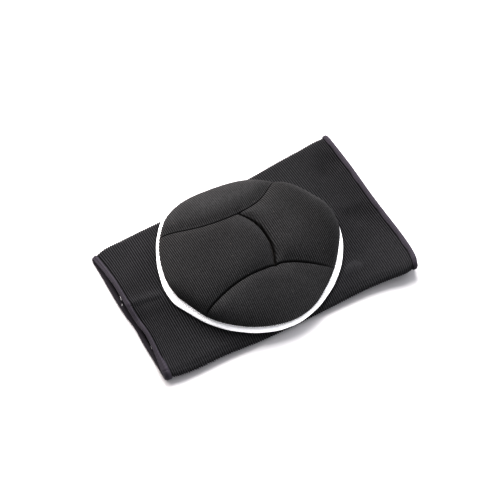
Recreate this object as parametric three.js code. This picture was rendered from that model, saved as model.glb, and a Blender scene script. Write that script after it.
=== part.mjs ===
// Dance knee pad lying flat: a ribbed knit sleeve with a domed foam pad sewn to its upper side.
// Millimetres. +X runs to the thigh opening, +Y to the back fold, +Z up from the floor.

import * as THREE from "three";
import { mergeVertices } from "three/addons/utils/BufferGeometryUtils.js";

// Sizes that several pieces share
const CLEARANCE = 0.3; // gap between neighbouring pieces
const TAPE_LAYER = 0.8; // one layer of folded tape
const CENTRING = { x: 0.92, y: 1.45 }; // moves the whole so that its box is centred on the origin

// Ribbed knit sleeve, a flattened tube of two plies
const KNIT_WALL = 2.0;
const FOLD_HEIGHT = 8.0; // outer thickness of the tube at its folded sides
const SLEEVE_ROWS = 25; // sections from calf to thigh
const RUN_STEPS = 14; // facets across one ply
const FOLD_STEPS = 6; // facets round one folded side
const CREASE_Y = -3; // the packing crease beside the pad's calf end
const CREASE_SPREAD = 7;
const LIFT_START = 0.2; // share of the half width from which the front side rises off the floor

// Sections of the sleeve, a row each. front and back: reach of the two folds from the centre line. crown:
// height of the upper ply. base: height of the lower ply. lift: height of the front fold off the floor.
// lean: how far the upper ply is drawn along X from the lower one. slant: skew of the opening across its
// width. corner: how far the front corner is drawn along X. crease: height of the packing crease.
const SECTION_COLUMNS = ["x", "front", "back", "crown", "base", "lift", "lean", "slant", "corner", "crease"];
const SLEEVE_SECTIONS = [
  [-110.6, 58.5, 61.0, 13.0, 1.1, 0.0, 3.8, -2.2, 0.0, -0.8],
  [-101.0, 60.9, 64.6, 13.4, 1.1, 0.0, 2.0, -1.2, 0.0, 1.0],
  [-86.0, 62.4, 65.0, 14.8, 0.0, 0.4, 0.0, 0.0, 0.0, 1.8],
  [-60.0, 63.4, 65.1, 16.4, 0.0, 0.8, 0.0, 0.0, 0.0, 0.0],
  [-28.0, 66.7, 65.3, 16.9, 0.0, 1.0, 0.0, 0.0, 0.0, 0.0],
  [0.0, 67.9, 65.5, 17.0, 0.0, 1.0, 0.0, 0.0, 0.0, 0.0],
  [35.0, 68.4, 66.3, 16.7, 0.0, 1.4, 0.0, 0.0, 0.0, 0.0],
  [62.0, 69.7, 68.1, 16.0, 0.0, 3.0, 0.0, 0.0, 0.0, 0.0],
  [82.0, 71.6, 69.4, 14.8, 0.0, 4.8, 0.0, 0.0, 0.0, 0.0],
  [101.0, 73.2, 70.2, 13.4, 1.1, 6.6, -1.2, 0.0, -1.6, 0.0],
  [110.7, 72.6, 69.9, 12.8, 1.1, 7.2, -2.0, 0.0, -3.0, 0.0],
].map((row) => Object.fromEntries(row.map((value, column) => [SECTION_COLUMNS[column], value])));

// Binding tape folded over the edge of each opening
const BINDING_WIDTH = 4.6;
const BINDING_NOSE = CLEARANCE + TAPE_LAYER + 0.2; // reach of the fold past the knit edge

// Outline of the pad. reach: the white tape's outer edge from the pad's centre. domeInset: how far the widest
// line of the dome lies inside that edge, small where the dome leans out over the tape.
const PAD_CENTRE = { x: -1.0, y: 1.1 };
const PAD_OUTLINE = [
  { angle: 0, reach: 73.2, domeInset: 1.9 },
  { angle: 30, reach: 68.4, domeInset: 0.8 },
  { angle: 60, reach: 66.0, domeInset: 1.2 },
  { angle: 90, reach: 67.6, domeInset: 2.2 },
  { angle: 120, reach: 75.6, domeInset: 4.2 },
  { angle: 150, reach: 76.8, domeInset: 4.6 },
  { angle: 180, reach: 77.4, domeInset: 5.0 },
  { angle: 210, reach: 72.9, domeInset: 4.4 },
  { angle: 240, reach: 70.4, domeInset: 4.4 },
  { angle: 270, reach: 71.2, domeInset: 4.4 },
  { angle: 300, reach: 70.2, domeInset: 4.6 },
  { angle: 330, reach: 71.7, domeInset: 4.8 },
];

// White edge tape folded round the pad's thin flange
const EDGE_WIDTH = 6.0;
const EDGE_STEPS = 76; // facets round the pad

// Foam pad
const FOAM_HEIGHT = 22.4; // over the sleeve at the middle
const RIM_HEIGHT = 7.5; // where the rounded shoulder meets the side
const FOOT_INSET = 6.4; // from the tape's outer edge to the dome's undercut foot
const SHOULDER_POWER = 4.6; // how flat the top stays before it rounds over
const FLANGE_THICKNESS = 1.2;
const FLANGE_INSET = 1.6;
const GROOVE_DEPTH = 4.8;
const GROOVE_SPREAD = 5.0;
const UNDERSIDE_RINGS = [0.94, 0.85, 0.72, 0.58, 0.44, 0.3, 0.16, 0];

// Pressed grooves in plan. The two long ones run from rim to rim past a point of meeting with the cross
// groove; start and end are angles round the rim, the points between are on the pad's top.
const BACK_GROOVE = {
  start: 143.4,
  before: { x: -30, y: 31.6 },
  meet: { x: -2.1, y: 27.7 },
  after: { x: 22, y: 30.6 },
  end: 45.0,
};
const FRONT_GROOVE = {
  start: 210.7,
  before: { x: -28, y: -26.3 },
  meet: { x: 4.6, y: -26.0 },
  after: { x: 25, y: -35.6 },
  end: 314.1,
};
const CROSS_GROOVE = [{ x: 9.3, y: -14 }, { x: 10.8, y: 0.5 }, { x: 7.5, y: 13 }];

// Where the pad's facets lie: shares of the way across a panel, close together at grooves and rim
const COLUMNS_TO_MEET = [0, 0.02, 0.06, 0.13, 0.22, 0.33, 0.45, 0.57, 0.69, 0.8, 0.89, 0.95, 0.985, 1];
const COLUMNS_PAST_MEET = [0.015, 0.05, 0.11, 0.2, 0.32, 0.45, 0.58, 0.71, 0.82, 0.9, 0.96, 0.985, 1];
const SIDE_PANEL_ROWS = [0, 0.02, 0.06, 0.14, 0.28, 0.46, 0.64, 0.8, 0.91, 0.97];
const MIDDLE_PANEL_ROWS = [0, 0.03, 0.08, 0.16, 0.27, 0.4, 0.5, 0.6, 0.73, 0.84, 0.92, 0.97];

const COLOURS = { knit: 0x313133, padCover: 0x353535, binding: 0x453f44, edgeTape: 0xfafafc };

const plan = (x, y) => new THREE.Vector3(x, y, 0);

/** Smooth curve through the rows of a table, read off by name at any place along its key column. */
function tableReader(rows, key) {
  const names = Object.keys(rows[0]).filter((name) => name !== key);
  const places = rows.map((row) => row[key]);
  const values = rows.flatMap((row) => names.map((name) => row[name]));
  const curve = new THREE.CubicInterpolant(places, values, names.length);
  return (place) => {
    const found = curve.evaluate(place);
    return Object.fromEntries(names.map((name, column) => [name, found[column]]));
  };
}

const sleeveSection = tableReader(SLEEVE_SECTIONS, "x");

/** Height of the lower ply above the floor. */
function lowerHeight(section, y) {
  const half = (section.front + section.back) / 2;
  const middle = (section.back - section.front) / 2;
  const across = (y - middle) / half;
  const rise = Math.max(0, (-across - LIFT_START) / (1 - LIFT_START));
  return Math.max(0, section.base) + section.lift * rise * rise;
}

/** Height of the upper ply's outer face above the floor. */
function upperHeight(section, y) {
  const half = (section.front + section.back) / 2;
  const middle = (section.back - section.front) / 2;
  const across = (y - middle) / half;
  const arch = (section.crown - section.base - FOLD_HEIGHT) * (1 - across * across);
  const crease = section.crease * Math.exp(-(((y - CREASE_Y) / CREASE_SPREAD) ** 2));
  return lowerHeight(section, y) + FOLD_HEIGHT + arch + crease;
}

/** Closed outline of the sleeve's outer face at one section, with outward normals. */
function sleeveOutline(section) {
  const radius = FOLD_HEIGHT / 2;
  const frontEnd = -section.front + radius;
  const backEnd = section.back - radius;
  const points = [];
  for (let step = 0; step < RUN_STEPS; step += 1) {
    const y = THREE.MathUtils.lerp(frontEnd, backEnd, step / RUN_STEPS);
    points.push({ y, z: lowerHeight(section, y) });
  }
  for (let step = 0; step < FOLD_STEPS; step += 1) {
    const turn = Math.PI * (step / FOLD_STEPS - 0.5);
    const middle = lowerHeight(section, backEnd) + radius;
    points.push({ y: backEnd + radius * Math.cos(turn), z: middle + radius * Math.sin(turn) });
  }
  for (let step = 0; step < RUN_STEPS; step += 1) {
    const y = THREE.MathUtils.lerp(backEnd, frontEnd, step / RUN_STEPS);
    points.push({ y, z: upperHeight(section, y) });
  }
  for (let step = 0; step < FOLD_STEPS; step += 1) {
    const turn = Math.PI * (step / FOLD_STEPS + 0.5);
    const middle = lowerHeight(section, frontEnd) + radius;
    points.push({ y: frontEnd + radius * Math.cos(turn), z: middle + radius * Math.sin(turn) });
  }
  const count = points.length;
  return points.map((point, index) => {
    const before = points[(index + count - 1) % count];
    const after = points[(index + 1) % count];
    const length = Math.hypot(after.y - before.y, after.z - before.z);
    return { ...point, outY: (after.z - before.z) / length, outZ: (before.y - after.y) / length };
  });
}

/** One ring of points round the sleeve at a given depth below its outer face. past moves it along X. */
function sleeveRing(x, depth, past = 0) {
  const section = sleeveSection(x);
  const half = (section.front + section.back) / 2;
  return sleeveOutline(section).map((point) => {
    const across = point.y / half;
    const cornerShare = Math.max(0, -across) ** 6;
    const leaning = section.lean * (point.z / section.crown);
    const drawn = leaning + section.slant * across + section.corner * cornerShare;
    return new THREE.Vector3(x + past + drawn, point.y - point.outY * depth, point.z - point.outZ * depth);
  });
}

/** Joins a grid of points into quads. Rows and columns may each run back to their start. */
function gridGeometry(grid, rowsClosed, columnsClosed) {
  const columns = grid[0].length;
  const indices = [];
  const rowCount = rowsClosed ? grid.length : grid.length - 1;
  const columnCount = columnsClosed ? columns : columns - 1;
  for (let row = 0; row < rowCount; row += 1) {
    for (let column = 0; column < columnCount; column += 1) {
      const nextRow = (row + 1) % grid.length;
      const nextColumn = (column + 1) % columns;
      const a = row * columns + column;
      const b = row * columns + nextColumn;
      const c = nextRow * columns + nextColumn;
      const d = nextRow * columns + column;
      indices.push(a, b, c, a, c, d);
    }
  }
  return { points: grid.flat(), indices };
}

/** Closed body from one or more grids that share their border points, facing out. */
function closedBody(grids) {
  const positions = [];
  const indices = [];
  for (const grid of grids) {
    const start = positions.length / 3;
    grid.points.forEach((point) => positions.push(point.x, point.y, point.z));
    grid.indices.forEach((index) => indices.push(start + index));
  }
  const loose = new THREE.BufferGeometry();
  loose.setAttribute("position", new THREE.Float32BufferAttribute(positions, 3));
  loose.setIndex(indices);
  const body = mergeVertices(loose, 1e-3);
  const corner = (index) => new THREE.Vector3().fromBufferAttribute(body.attributes.position, index);
  const kept = [];
  let volume = 0;
  for (let at = 0; at < body.index.count; at += 3) {
    const [a, b, c] = [body.index.getX(at), body.index.getX(at + 1), body.index.getX(at + 2)];
    if (a !== b && b !== c && c !== a) {
      kept.push([a, b, c]);
      volume += corner(a).dot(corner(b).cross(corner(c)));
    }
  }
  body.setIndex(kept.flatMap(([a, b, c]) => (volume > 0 ? [a, b, c] : [a, c, b])));
  body.computeVertexNormals();
  return body;
}

/** The knit tube: outer face from calf to thigh, then inner face back again. */
function makeSleeve() {
  const first = SLEEVE_SECTIONS[0].x;
  const last = SLEEVE_SECTIONS[SLEEVE_SECTIONS.length - 1].x;
  const places = [];
  for (let row = 0; row < SLEEVE_ROWS; row += 1) {
    places.push(THREE.MathUtils.lerp(first, last, row / (SLEEVE_ROWS - 1)));
  }
  const outer = places.map((x) => sleeveRing(x, 0));
  const inner = places.map((x) => sleeveRing(x, KNIT_WALL)).reverse();
  return closedBody([gridGeometry([...outer, ...inner], true, true)]);
}

/** Tape folded over a knit edge: an outer leaf, a rounded nose past the edge and an inner leaf. */
function makeBinding(edge, outward) {
  const near = CLEARANCE;
  const far = CLEARANCE + TAPE_LAYER;
  const profile = [
    { along: -BINDING_WIDTH, depth: -near },
    { along: -BINDING_WIDTH, depth: -far },
    { along: BINDING_NOSE - 0.9, depth: -far },
    { along: BINDING_NOSE - 0.3, depth: -far * 0.5 },
    { along: BINDING_NOSE, depth: KNIT_WALL / 2 },
    { along: BINDING_NOSE - 0.3, depth: KNIT_WALL + far * 0.5 },
    { along: BINDING_NOSE - 0.9, depth: KNIT_WALL + far },
    { along: -BINDING_WIDTH, depth: KNIT_WALL + far },
    { along: -BINDING_WIDTH, depth: KNIT_WALL + near },
    { along: near, depth: KNIT_WALL + near },
    { along: near + 0.1, depth: KNIT_WALL / 2 },
    { along: near, depth: -near },
  ];
  const rings = profile.map(({ along, depth }) => {
    const onKnit = Math.min(along, 0);
    return sleeveRing(edge + outward * onKnit, depth, outward * (along - onKnit));
  });
  return closedBody([gridGeometry(rings, true, true)]);
}

// The outline table is carried on past a full turn at both ends so that the curve closes smoothly
const outlineRows = [-360, 0, 360].flatMap((turn) =>
  PAD_OUTLINE.map((row) => ({ ...row, angle: row.angle + turn })),
);
const outlineAt = tableReader(outlineRows, "angle");

/** Plan point a given distance inside the tape's outer edge. */
function insideOutline(angle, inset) {
  const turn = THREE.MathUtils.degToRad(angle);
  const reach = outlineAt(angle).reach - inset;
  return plan(PAD_CENTRE.x + reach * Math.cos(turn), PAD_CENTRE.y + reach * Math.sin(turn));
}

/** Plan point on the widest line of the dome. */
const onRim = (angle) => insideOutline(angle, outlineAt(angle).domeInset);

/** The same plan point carried to a height above the sleeve's upper ply. */
function aboveSleeve(point, height) {
  const seat = upperHeight(sleeveSection(point.x), point.y);
  return new THREE.Vector3(point.x, point.y, seat + height);
}

/** White tape folded round the pad's flange. */
function makeEdgeTape() {
  const lowerFace = CLEARANCE;
  const lowerTop = lowerFace + TAPE_LAYER;
  const upperFace = lowerTop + CLEARANCE + FLANGE_THICKNESS + CLEARANCE;
  const upperTop = upperFace + TAPE_LAYER;
  const middle = (lowerFace + upperTop) / 2;
  const profile = [
    { inset: EDGE_WIDTH, height: lowerFace },
    { inset: 1.3, height: lowerFace },
    { inset: 0.4, height: lowerFace + 0.5 },
    { inset: 0, height: middle },
    { inset: 0.4, height: upperTop - 0.5 },
    { inset: 1.3, height: upperTop },
    { inset: EDGE_WIDTH * 0.6, height: upperTop + 0.1 },
    { inset: EDGE_WIDTH, height: upperTop },
    { inset: EDGE_WIDTH, height: upperFace },
    { inset: 1.3, height: upperFace },
    { inset: 1.0, height: middle },
    { inset: 1.3, height: lowerTop },
    { inset: EDGE_WIDTH, height: lowerTop },
  ];
  const rings = profile.map(({ inset, height }) => {
    const ring = [];
    for (let step = 0; step < EDGE_STEPS; step += 1) {
      ring.push(aboveSleeve(insideOutline((360 * step) / EDGE_STEPS, inset), height));
    }
    return ring;
  });
  return closedBody([gridGeometry(rings, true, true)]);
}

/** A long groove as a curve through its meeting point, which lies half way along. */
function longGroove(groove) {
  const inner = [groove.before, groove.meet, groove.after].map(({ x, y }) => plan(x, y));
  const ends = [groove.start, groove.end].map(onRim);
  return new THREE.CatmullRomCurve3([ends[0], ...inner, ends[1]]);
}

const backGroove = longGroove(BACK_GROOVE);
const frontGroove = longGroove(FRONT_GROOVE);
const crossGroove = new THREE.CatmullRomCurve3([
  frontGroove.getPoint(0.5),
  ...CROSS_GROOVE.map(({ x, y }) => plan(x, y)),
  backGroove.getPoint(0.5),
]);
const grooveTrace = [backGroove, frontGroove, crossGroove].flatMap((groove) => groove.getPoints(90));

/** Height of the padded top above the sleeve at a plan point. */
function paddedHeight(point) {
  const awayX = point.x - PAD_CENTRE.x;
  const awayY = point.y - PAD_CENTRE.y;
  const angle = THREE.MathUtils.radToDeg(Math.atan2(awayY, awayX));
  const { reach, domeInset } = outlineAt(angle);
  const share = Math.min(1, Math.hypot(awayX, awayY) / (reach - domeInset));
  const swell = Math.sqrt(1 - share ** SHOULDER_POWER);
  const nearest = Math.min(...grooveTrace.map((mark) => mark.distanceTo(point)));
  const press = GROOVE_DEPTH * Math.exp(-nearest / GROOVE_SPREAD) * (0.25 + 0.75 * swell);
  return RIM_HEIGHT + (FOAM_HEIGHT - RIM_HEIGHT) * swell - press;
}

/** Point of the middle band between four borders: front groove, back groove, one side and the other. */
function blend(share, across, left, right, front, back) {
  const corners = plan(0, 0)
    .addScaledVector(left(0), (1 - share) * (1 - across))
    .addScaledVector(left(1), (1 - share) * across)
    .addScaledVector(right(0), share * (1 - across))
    .addScaledVector(right(1), share * across);
  return plan(0, 0)
    .addScaledVector(left(across), 1 - share)
    .addScaledVector(right(across), share)
    .addScaledVector(front(share), 1 - across)
    .addScaledVector(back(share), across)
    .sub(corners);
}

/** Rim point a share of the way between two angles. */
const rimBetween = (from, to) => (share) => onRim(THREE.MathUtils.lerp(from, to, share));

/** Plan of the padded top: rows run from the front rim to the back rim, columns from calf to thigh. */
function paddedPlan() {
  const places = [
    ...COLUMNS_TO_MEET.map((share) => share / 2),
    ...COLUMNS_PAST_MEET.map((share) => 0.5 + share / 2),
  ];
  const frontRim = rimBetween(FRONT_GROOVE.start, FRONT_GROOVE.end);
  const backRim = rimBetween(BACK_GROOVE.start, BACK_GROOVE.end);
  const calfRim = rimBetween(FRONT_GROOVE.start, BACK_GROOVE.start);
  const thighRim = rimBetween(FRONT_GROOVE.end, BACK_GROOVE.end + 360);
  const cross = (across) => crossGroove.getPoint(across);
  const middle = (place, across) => {
    const beforeMeet = place <= 0.5;
    const share = beforeMeet ? place * 2 : place * 2 - 1;
    const from = beforeMeet ? 0 : 0.5;
    const front = (along) => frontGroove.getPoint(from + along / 2);
    const back = (along) => backGroove.getPoint(from + along / 2);
    const left = beforeMeet ? calfRim : cross;
    const right = beforeMeet ? cross : thighRim;
    return blend(share, across, left, right, front, back);
  };
  const toRim = SIDE_PANEL_ROWS.map((share) => 1 - share);
  const frontRows = toRim.map((share) =>
    places.map((place) => frontGroove.getPoint(place).lerp(frontRim(place), share)),
  );
  const middleRows = MIDDLE_PANEL_ROWS.map((across) => places.map((place) => middle(place, across)));
  const backRows = [0, ...SIDE_PANEL_ROWS.slice(1), 1].map((share) =>
    places.map((place) => backGroove.getPoint(place).lerp(backRim(place), share)),
  );
  return {
    rows: [...frontRows, ...middleRows, ...backRows],
    firstMiddle: frontRows.length,
    lastMiddle: frontRows.length + middleRows.length,
  };
}

/** Foam pad with its cover: padded top, undercut side, thin flange and a seat that follows the sleeve. */
function makePad() {
  const { rows, firstMiddle, lastMiddle } = paddedPlan();
  const top = rows.map((row) => row.map((point) => aboveSleeve(point, paddedHeight(point))));
  const lastColumn = rows[0].length - 1;
  const border = [
    ...rows[0].map((_, column) => [0, column]),
    ...rows.slice(firstMiddle + 1, lastMiddle).map((_, step) => [firstMiddle + 1 + step, lastColumn]),
    ...rows[0].map((_, column) => [rows.length - 1, lastColumn - column]),
    ...rows.slice(firstMiddle + 1, lastMiddle).map((_, step) => [lastMiddle - 1 - step, 0]),
  ].reverse();
  const rim = border.map(([row, column]) => top[row][column]);
  const angles = border.map(([row, column]) => {
    const point = rows[row][column];
    return THREE.MathUtils.radToDeg(Math.atan2(point.y - PAD_CENTRE.y, point.x - PAD_CENTRE.x));
  });
  const flangeLow = CLEARANCE + TAPE_LAYER + CLEARANCE;
  const flangeTop = flangeLow + FLANGE_THICKNESS;
  const side = [
    { inset: FOOT_INSET, height: flangeTop + 1.6 },
    { inset: FOOT_INSET, height: flangeTop },
    { inset: FLANGE_INSET, height: flangeTop },
    { inset: FLANGE_INSET, height: flangeLow },
    { inset: FOOT_INSET, height: flangeLow },
    { inset: FOOT_INSET + 0.6, height: CLEARANCE },
  ];
  const turnUnder = angles.map((angle) =>
    aboveSleeve(insideOutline(angle, outlineAt(angle).domeInset + 0.6), flangeTop + 2.6),
  );
  const sideRings = side.map(({ inset, height }) =>
    angles.map((angle) => aboveSleeve(insideOutline(angle, inset), height)),
  );
  const centre = plan(PAD_CENTRE.x, PAD_CENTRE.y);
  const underRings = UNDERSIDE_RINGS.map((share) =>
    angles.map((angle) => {
      const edge = insideOutline(angle, FOOT_INSET + 0.6);
      return aboveSleeve(centre.clone().lerp(edge, share), CLEARANCE);
    }),
  );
  const skirt = gridGeometry([rim, turnUnder, ...sideRings, ...underRings], false, true);
  return closedBody([gridGeometry(top, false, false), skirt]);
}

/** One named piece with its own cloth colour. */
function piece(name, geometry, color, roughness) {
  geometry.translate(CENTRING.x, CENTRING.y, 0);
  const material = new THREE.MeshStandardMaterial({ color, roughness, metalness: 0 });
  const mesh = new THREE.Mesh(geometry, material);
  mesh.name = name;
  return mesh;
}

const kneePad = new THREE.Group();
kneePad.name = "dance_knee_pad";
kneePad.add(
  piece("sleeve", makeSleeve(), COLOURS.knit, 0.9),
  piece("binding_calf", makeBinding(SLEEVE_SECTIONS[0].x, -1), COLOURS.binding, 0.7),
  piece("binding_thigh", makeBinding(SLEEVE_SECTIONS[SLEEVE_SECTIONS.length - 1].x, 1), COLOURS.binding, 0.7),
  piece("foam_pad", makePad(), COLOURS.padCover, 0.85),
  piece("edge_tape", makeEdgeTape(), COLOURS.edgeTape, 0.75),
);

export default kneePad;
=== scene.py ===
"""Dance knee pad lying flat: a ribbed knit sleeve with bound openings and a quilted foam pad on top.

Sizes are in millimetres and meshes in metres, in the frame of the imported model: +X runs to the thigh
opening, +Y to the back fold and +Z up from the floor.
"""

import logging
import math
from collections.abc import Callable, Sequence
from dataclasses import dataclass
from enum import Enum

import bpy
import numpy as np
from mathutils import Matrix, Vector
from mathutils.kdtree import KDTree


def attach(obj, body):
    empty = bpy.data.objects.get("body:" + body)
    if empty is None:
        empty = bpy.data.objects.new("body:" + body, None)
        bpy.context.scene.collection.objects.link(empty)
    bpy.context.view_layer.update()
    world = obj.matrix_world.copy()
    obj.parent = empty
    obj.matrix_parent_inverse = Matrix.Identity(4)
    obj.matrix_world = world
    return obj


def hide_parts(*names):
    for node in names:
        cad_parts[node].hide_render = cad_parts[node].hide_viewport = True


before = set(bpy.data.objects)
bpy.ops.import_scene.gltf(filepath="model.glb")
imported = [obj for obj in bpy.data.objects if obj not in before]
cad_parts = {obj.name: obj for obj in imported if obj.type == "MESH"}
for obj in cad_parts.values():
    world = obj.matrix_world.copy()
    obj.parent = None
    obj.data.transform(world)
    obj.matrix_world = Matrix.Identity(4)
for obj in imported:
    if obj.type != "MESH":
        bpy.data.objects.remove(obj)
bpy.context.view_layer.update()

LOG = logging.getLogger("knee_pad")
MM = 0.001
CENTRING = np.array([0.92, 1.45, 0.0])  # from the tables' own origin to the middle of the part's box
CLEARANCE = 0.3  # between neighbours
TAPE_LAYER = 0.8
FLANGE = 1.2  # thickness of the pad's foot, which the white tape folds round
Rows = tuple[tuple[float, ...], ...]


class Opening(Enum):
    """The end of the sleeve that a binding edges; the value is its direction along X."""

    CALF = -1
    THIGH = 1


class Hold(Enum):
    """How a sheet of cloth is kept in its shape."""

    LAID = "laid"
    FOLDED = "folded"


def hex_to_linear(code: str) -> tuple[float, float, float, float]:
    """Turns an sRGB colour into the linear one that shaders take.

    Args:
        code: six hex digits.

    Returns:
        Linear red, green, blue and an alpha of 1.
    """
    channels = [int(code[start : start + 2], 16) / 255 for start in (0, 2, 4)]
    linear = [c / 12.92 if c <= 0.04045 else ((c + 0.055) / 1.055) ** 2.4 for c in channels]
    return (linear[0], linear[1], linear[2], 1.0)


def add_node(
    tree: bpy.types.NodeTree, kind: str, settings: dict | None = None, links: dict | None = None
) -> bpy.types.Node:
    """Adds a shader node with its settings and links.

    Args:
        tree: node tree that gets the node.
        kind: Blender's name for the type of node, without the ShaderNode that it begins with.
        settings: values by property name, input name or input index.
        links: what feeds each input, by its name or index: an output, or a node for its first output.

    Returns:
        The new node.
    """
    node = tree.nodes.new(f"ShaderNode{kind}")
    for name, value in (settings or {}).items():
        if isinstance(name, int) or name in node.inputs:
            node.inputs[name].default_value = value
        else:
            setattr(node, name, value)
    for name, source in (links or {}).items():
        output = source.outputs[0] if isinstance(source, bpy.types.Node) else source
        tree.links.new(output, node.inputs[name])
    return node


def blank_material(name: str) -> tuple[bpy.types.Material, bpy.types.NodeTree]:
    """Starts a material without any node.

    Args:
        name: the material's name.

    Returns:
        The material, and its node tree.
    """
    made = bpy.data.materials.new(name)
    made.use_nodes = True
    made.node_tree.nodes.clear()
    return made, made.node_tree


def smooth_step(low: float, high: float, value: np.ndarray) -> np.ndarray:
    """Rises smoothly from 0 at low to 1 at high."""
    share = np.clip((value - low) / (high - low), 0, 1)
    return share * share * (3 - 2 * share)


def rib_height(phase: np.ndarray, power: np.ndarray | float) -> np.ndarray:
    """Height of a rib from 0 to 1, by its phase counted in ribs; a high power makes the ridge narrow."""
    return np.abs(np.sin(np.pi * phase)) ** power


def grid_quads(
    rows: int, columns: int, rows_closed: bool = False, columns_closed: bool = False
) -> np.ndarray:
    """Joins a grid of points, numbered row by row, into four-sided faces.

    Args:
        rows: count of rows.
        columns: count of columns.
        rows_closed: whether the last row joins the first.
        columns_closed: whether the last column joins the first.

    Returns:
        Point numbers, four to a face.
    """
    row = np.arange(rows if rows_closed else rows - 1)[:, None]
    column = np.arange(columns if columns_closed else columns - 1)[None, :]
    after_row = (row + 1) % rows
    after_column = (column + 1) % columns
    corners = [row * columns + column, row * columns + after_column]
    corners += [after_row * columns + after_column, after_row * columns + column]
    return np.stack([np.broadcast_to(c, corners[0].shape) for c in corners], axis=-1).reshape(-1, 4)


def grid_normals(points: np.ndarray) -> np.ndarray:
    """Unit normals of an open grid of points.

    Args:
        points: the grid; rows run to +Y and columns to +X.

    Returns:
        Upward normals, one a point.
    """
    along_rows = np.gradient(points, axis=0)
    along_columns = np.gradient(points, axis=1)
    normals = np.cross(along_columns, along_rows)
    return normals / np.maximum(np.linalg.norm(normals, axis=-1, keepdims=True), 1e-9)


def signed_volume(points: np.ndarray, quads: np.ndarray) -> float:
    """Volume inside a closed mesh, negative where its faces look inwards."""
    a, b, c, d = (points[quads[:, corner]] for corner in range(4))
    return float(np.sum(a * np.cross(b, c)) + np.sum(a * np.cross(c, d))) / 6


def travel_along(points: np.ndarray) -> np.ndarray:
    """Distance along each path up to each of its points.

    Args:
        points: a path, or paths a row each.

    Returns:
        Millimetres from each path's first point.
    """
    steps = np.linalg.norm(np.diff(points, axis=-2), axis=-1)
    start = np.zeros((*steps.shape[:-1], 1))
    return np.concatenate([start, np.cumsum(steps, axis=-1)], axis=-1)


def put_object(name: str, data: bpy.types.ID) -> bpy.types.Object:
    """Puts a new object into the scene.

    Args:
        name: the object's name.
        data: its mesh, camera or light.

    Returns:
        The object.
    """
    made = bpy.data.objects.new(name, data)
    bpy.context.scene.collection.objects.link(made)
    return made


def make_object(
    name: str,
    points: np.ndarray,
    faces: np.ndarray,
    material: bpy.types.Material,
    weave: np.ndarray | None = None,
) -> bpy.types.Object:
    """Makes a smooth-shaded object whose faces look outwards.

    Args:
        name: the piece's name.
        points: places in millimetres, from the tables' own origin.
        faces: point numbers, four to a face; a triangle repeats its last number.
        material: finish of the whole piece.
        weave: three numbers a point for the finish: rib count, millimetres along the rib, rib height with
            painted light and shade.

    Returns:
        The object, in the scene.
    """
    points = points.reshape(-1, 3)
    if signed_volume(points, faces) < 0:
        triangles = faces[:, 2:3] == faces[:, 3:]
        faces = np.where(triangles, faces[:, [1, 0, 2, 2]], faces[:, [1, 0, 3, 2]])
    mesh = bpy.data.meshes.new(name)
    polygons = [face[:3] if face[2] == face[3] else face for face in faces.tolist()]
    mesh.from_pydata(((points + CENTRING) * MM).tolist(), [], polygons)
    mesh.polygons.foreach_set("use_smooth", np.ones(len(polygons), dtype=bool))
    if weave is not None:
        stored = mesh.attributes.new("weave", "FLOAT_VECTOR", "POINT")
        stored.data.foreach_set("vector", weave.reshape(-1).astype(np.float32))
    mesh.materials.append(material)
    return put_object(name, mesh)


def settle(piece: bpy.types.Object, slot: str, *nodes: str) -> bpy.types.Object:
    """Lets a piece ride on the body and hides the CAD nodes that it stands for.

    Args:
        piece: the new object.
        slot: the record's material slot; not used.
        nodes: CAD nodes that the piece stands for.

    Returns:
        The same object.
    """
    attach(piece, "root")
    if nodes:
        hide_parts(*nodes)
    LOG.info("%s: %d faces", piece.name, len(piece.data.polygons))
    return piece


class SmoothTable:
    """A smooth curve through the rows of a table, read off at any place along its first column."""

    def __init__(self, columns: str, rows: Sequence[tuple[float, ...]]) -> None:
        """Works out the slope at each row.

        Args:
            columns: names of the columns; the first is the place along the curve.
            rows: the table.
        """
        data = np.array(rows, dtype=float)
        self.places = data[:, 0]
        self.names = columns.split()[1:]
        self.values = data[:, 1:]
        chords = np.diff(self.values, axis=0) / np.diff(self.places)[:, None]
        self.slopes = np.vstack([chords[:1], (chords[:-1] + chords[1:]) / 2, chords[-1:]])

    def at(self, place: np.ndarray) -> dict[str, np.ndarray]:
        """Reads every column at the given places.

        Args:
            place: places along the first column, of any shape.

        Returns:
            Values by column name, each in the shape of place.
        """
        place = np.clip(np.asarray(place, dtype=float), self.places[0], self.places[-1])
        row = np.clip(np.searchsorted(self.places, place, side="right") - 1, 0, len(self.places) - 2)
        width = (self.places[row + 1] - self.places[row])[..., None]
        t = (place - self.places[row])[..., None] / width
        start = (2 * t**3 - 3 * t**2 + 1) * self.values[row]
        leave = (t**3 - 2 * t**2 + t) * width * self.slopes[row]
        end = (3 * t**2 - 2 * t**3) * self.values[row + 1]
        reach = (t**3 - t**2) * width * self.slopes[row + 1]
        found = start + leave + end + reach
        return {name: found[..., column] for column, name in enumerate(self.names)}


def curve_through(points: list[tuple[float, float]], steps: int) -> np.ndarray:
    """Smooth centripetal curve through plan points.

    Args:
        points: places in plan.
        steps: steps between each two neighbouring points.

    Returns:
        Points of the curve, a row each.
    """
    known = np.array(points, dtype=float)
    known = np.vstack([2 * known[0] - known[1], known, 2 * known[-1] - known[-2]])
    runs = []
    t = np.linspace(0, 1, steps + 1)[:, None]
    for before, start, end, after in zip(known, known[1:], known[2:], known[3:]):
        sides = (before, start), (start, end), (end, after)
        first, own, last = (math.sqrt(np.linalg.norm(b - a)) for a, b in sides)
        leave = (start - before) / first - (end - before) / (first + own) + (end - start) / own
        reach = (end - start) / own - (after - start) / (own + last) + (after - end) / last
        leave, reach = leave * own, reach * own
        run = start + leave * t + (3 * (end - start) - 2 * leave - reach) * t**2
        runs.append((run + (2 * (start - end) + leave + reach) * t**3)[:-1])
    return np.vstack([*runs, known[-2:-1]])


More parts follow.
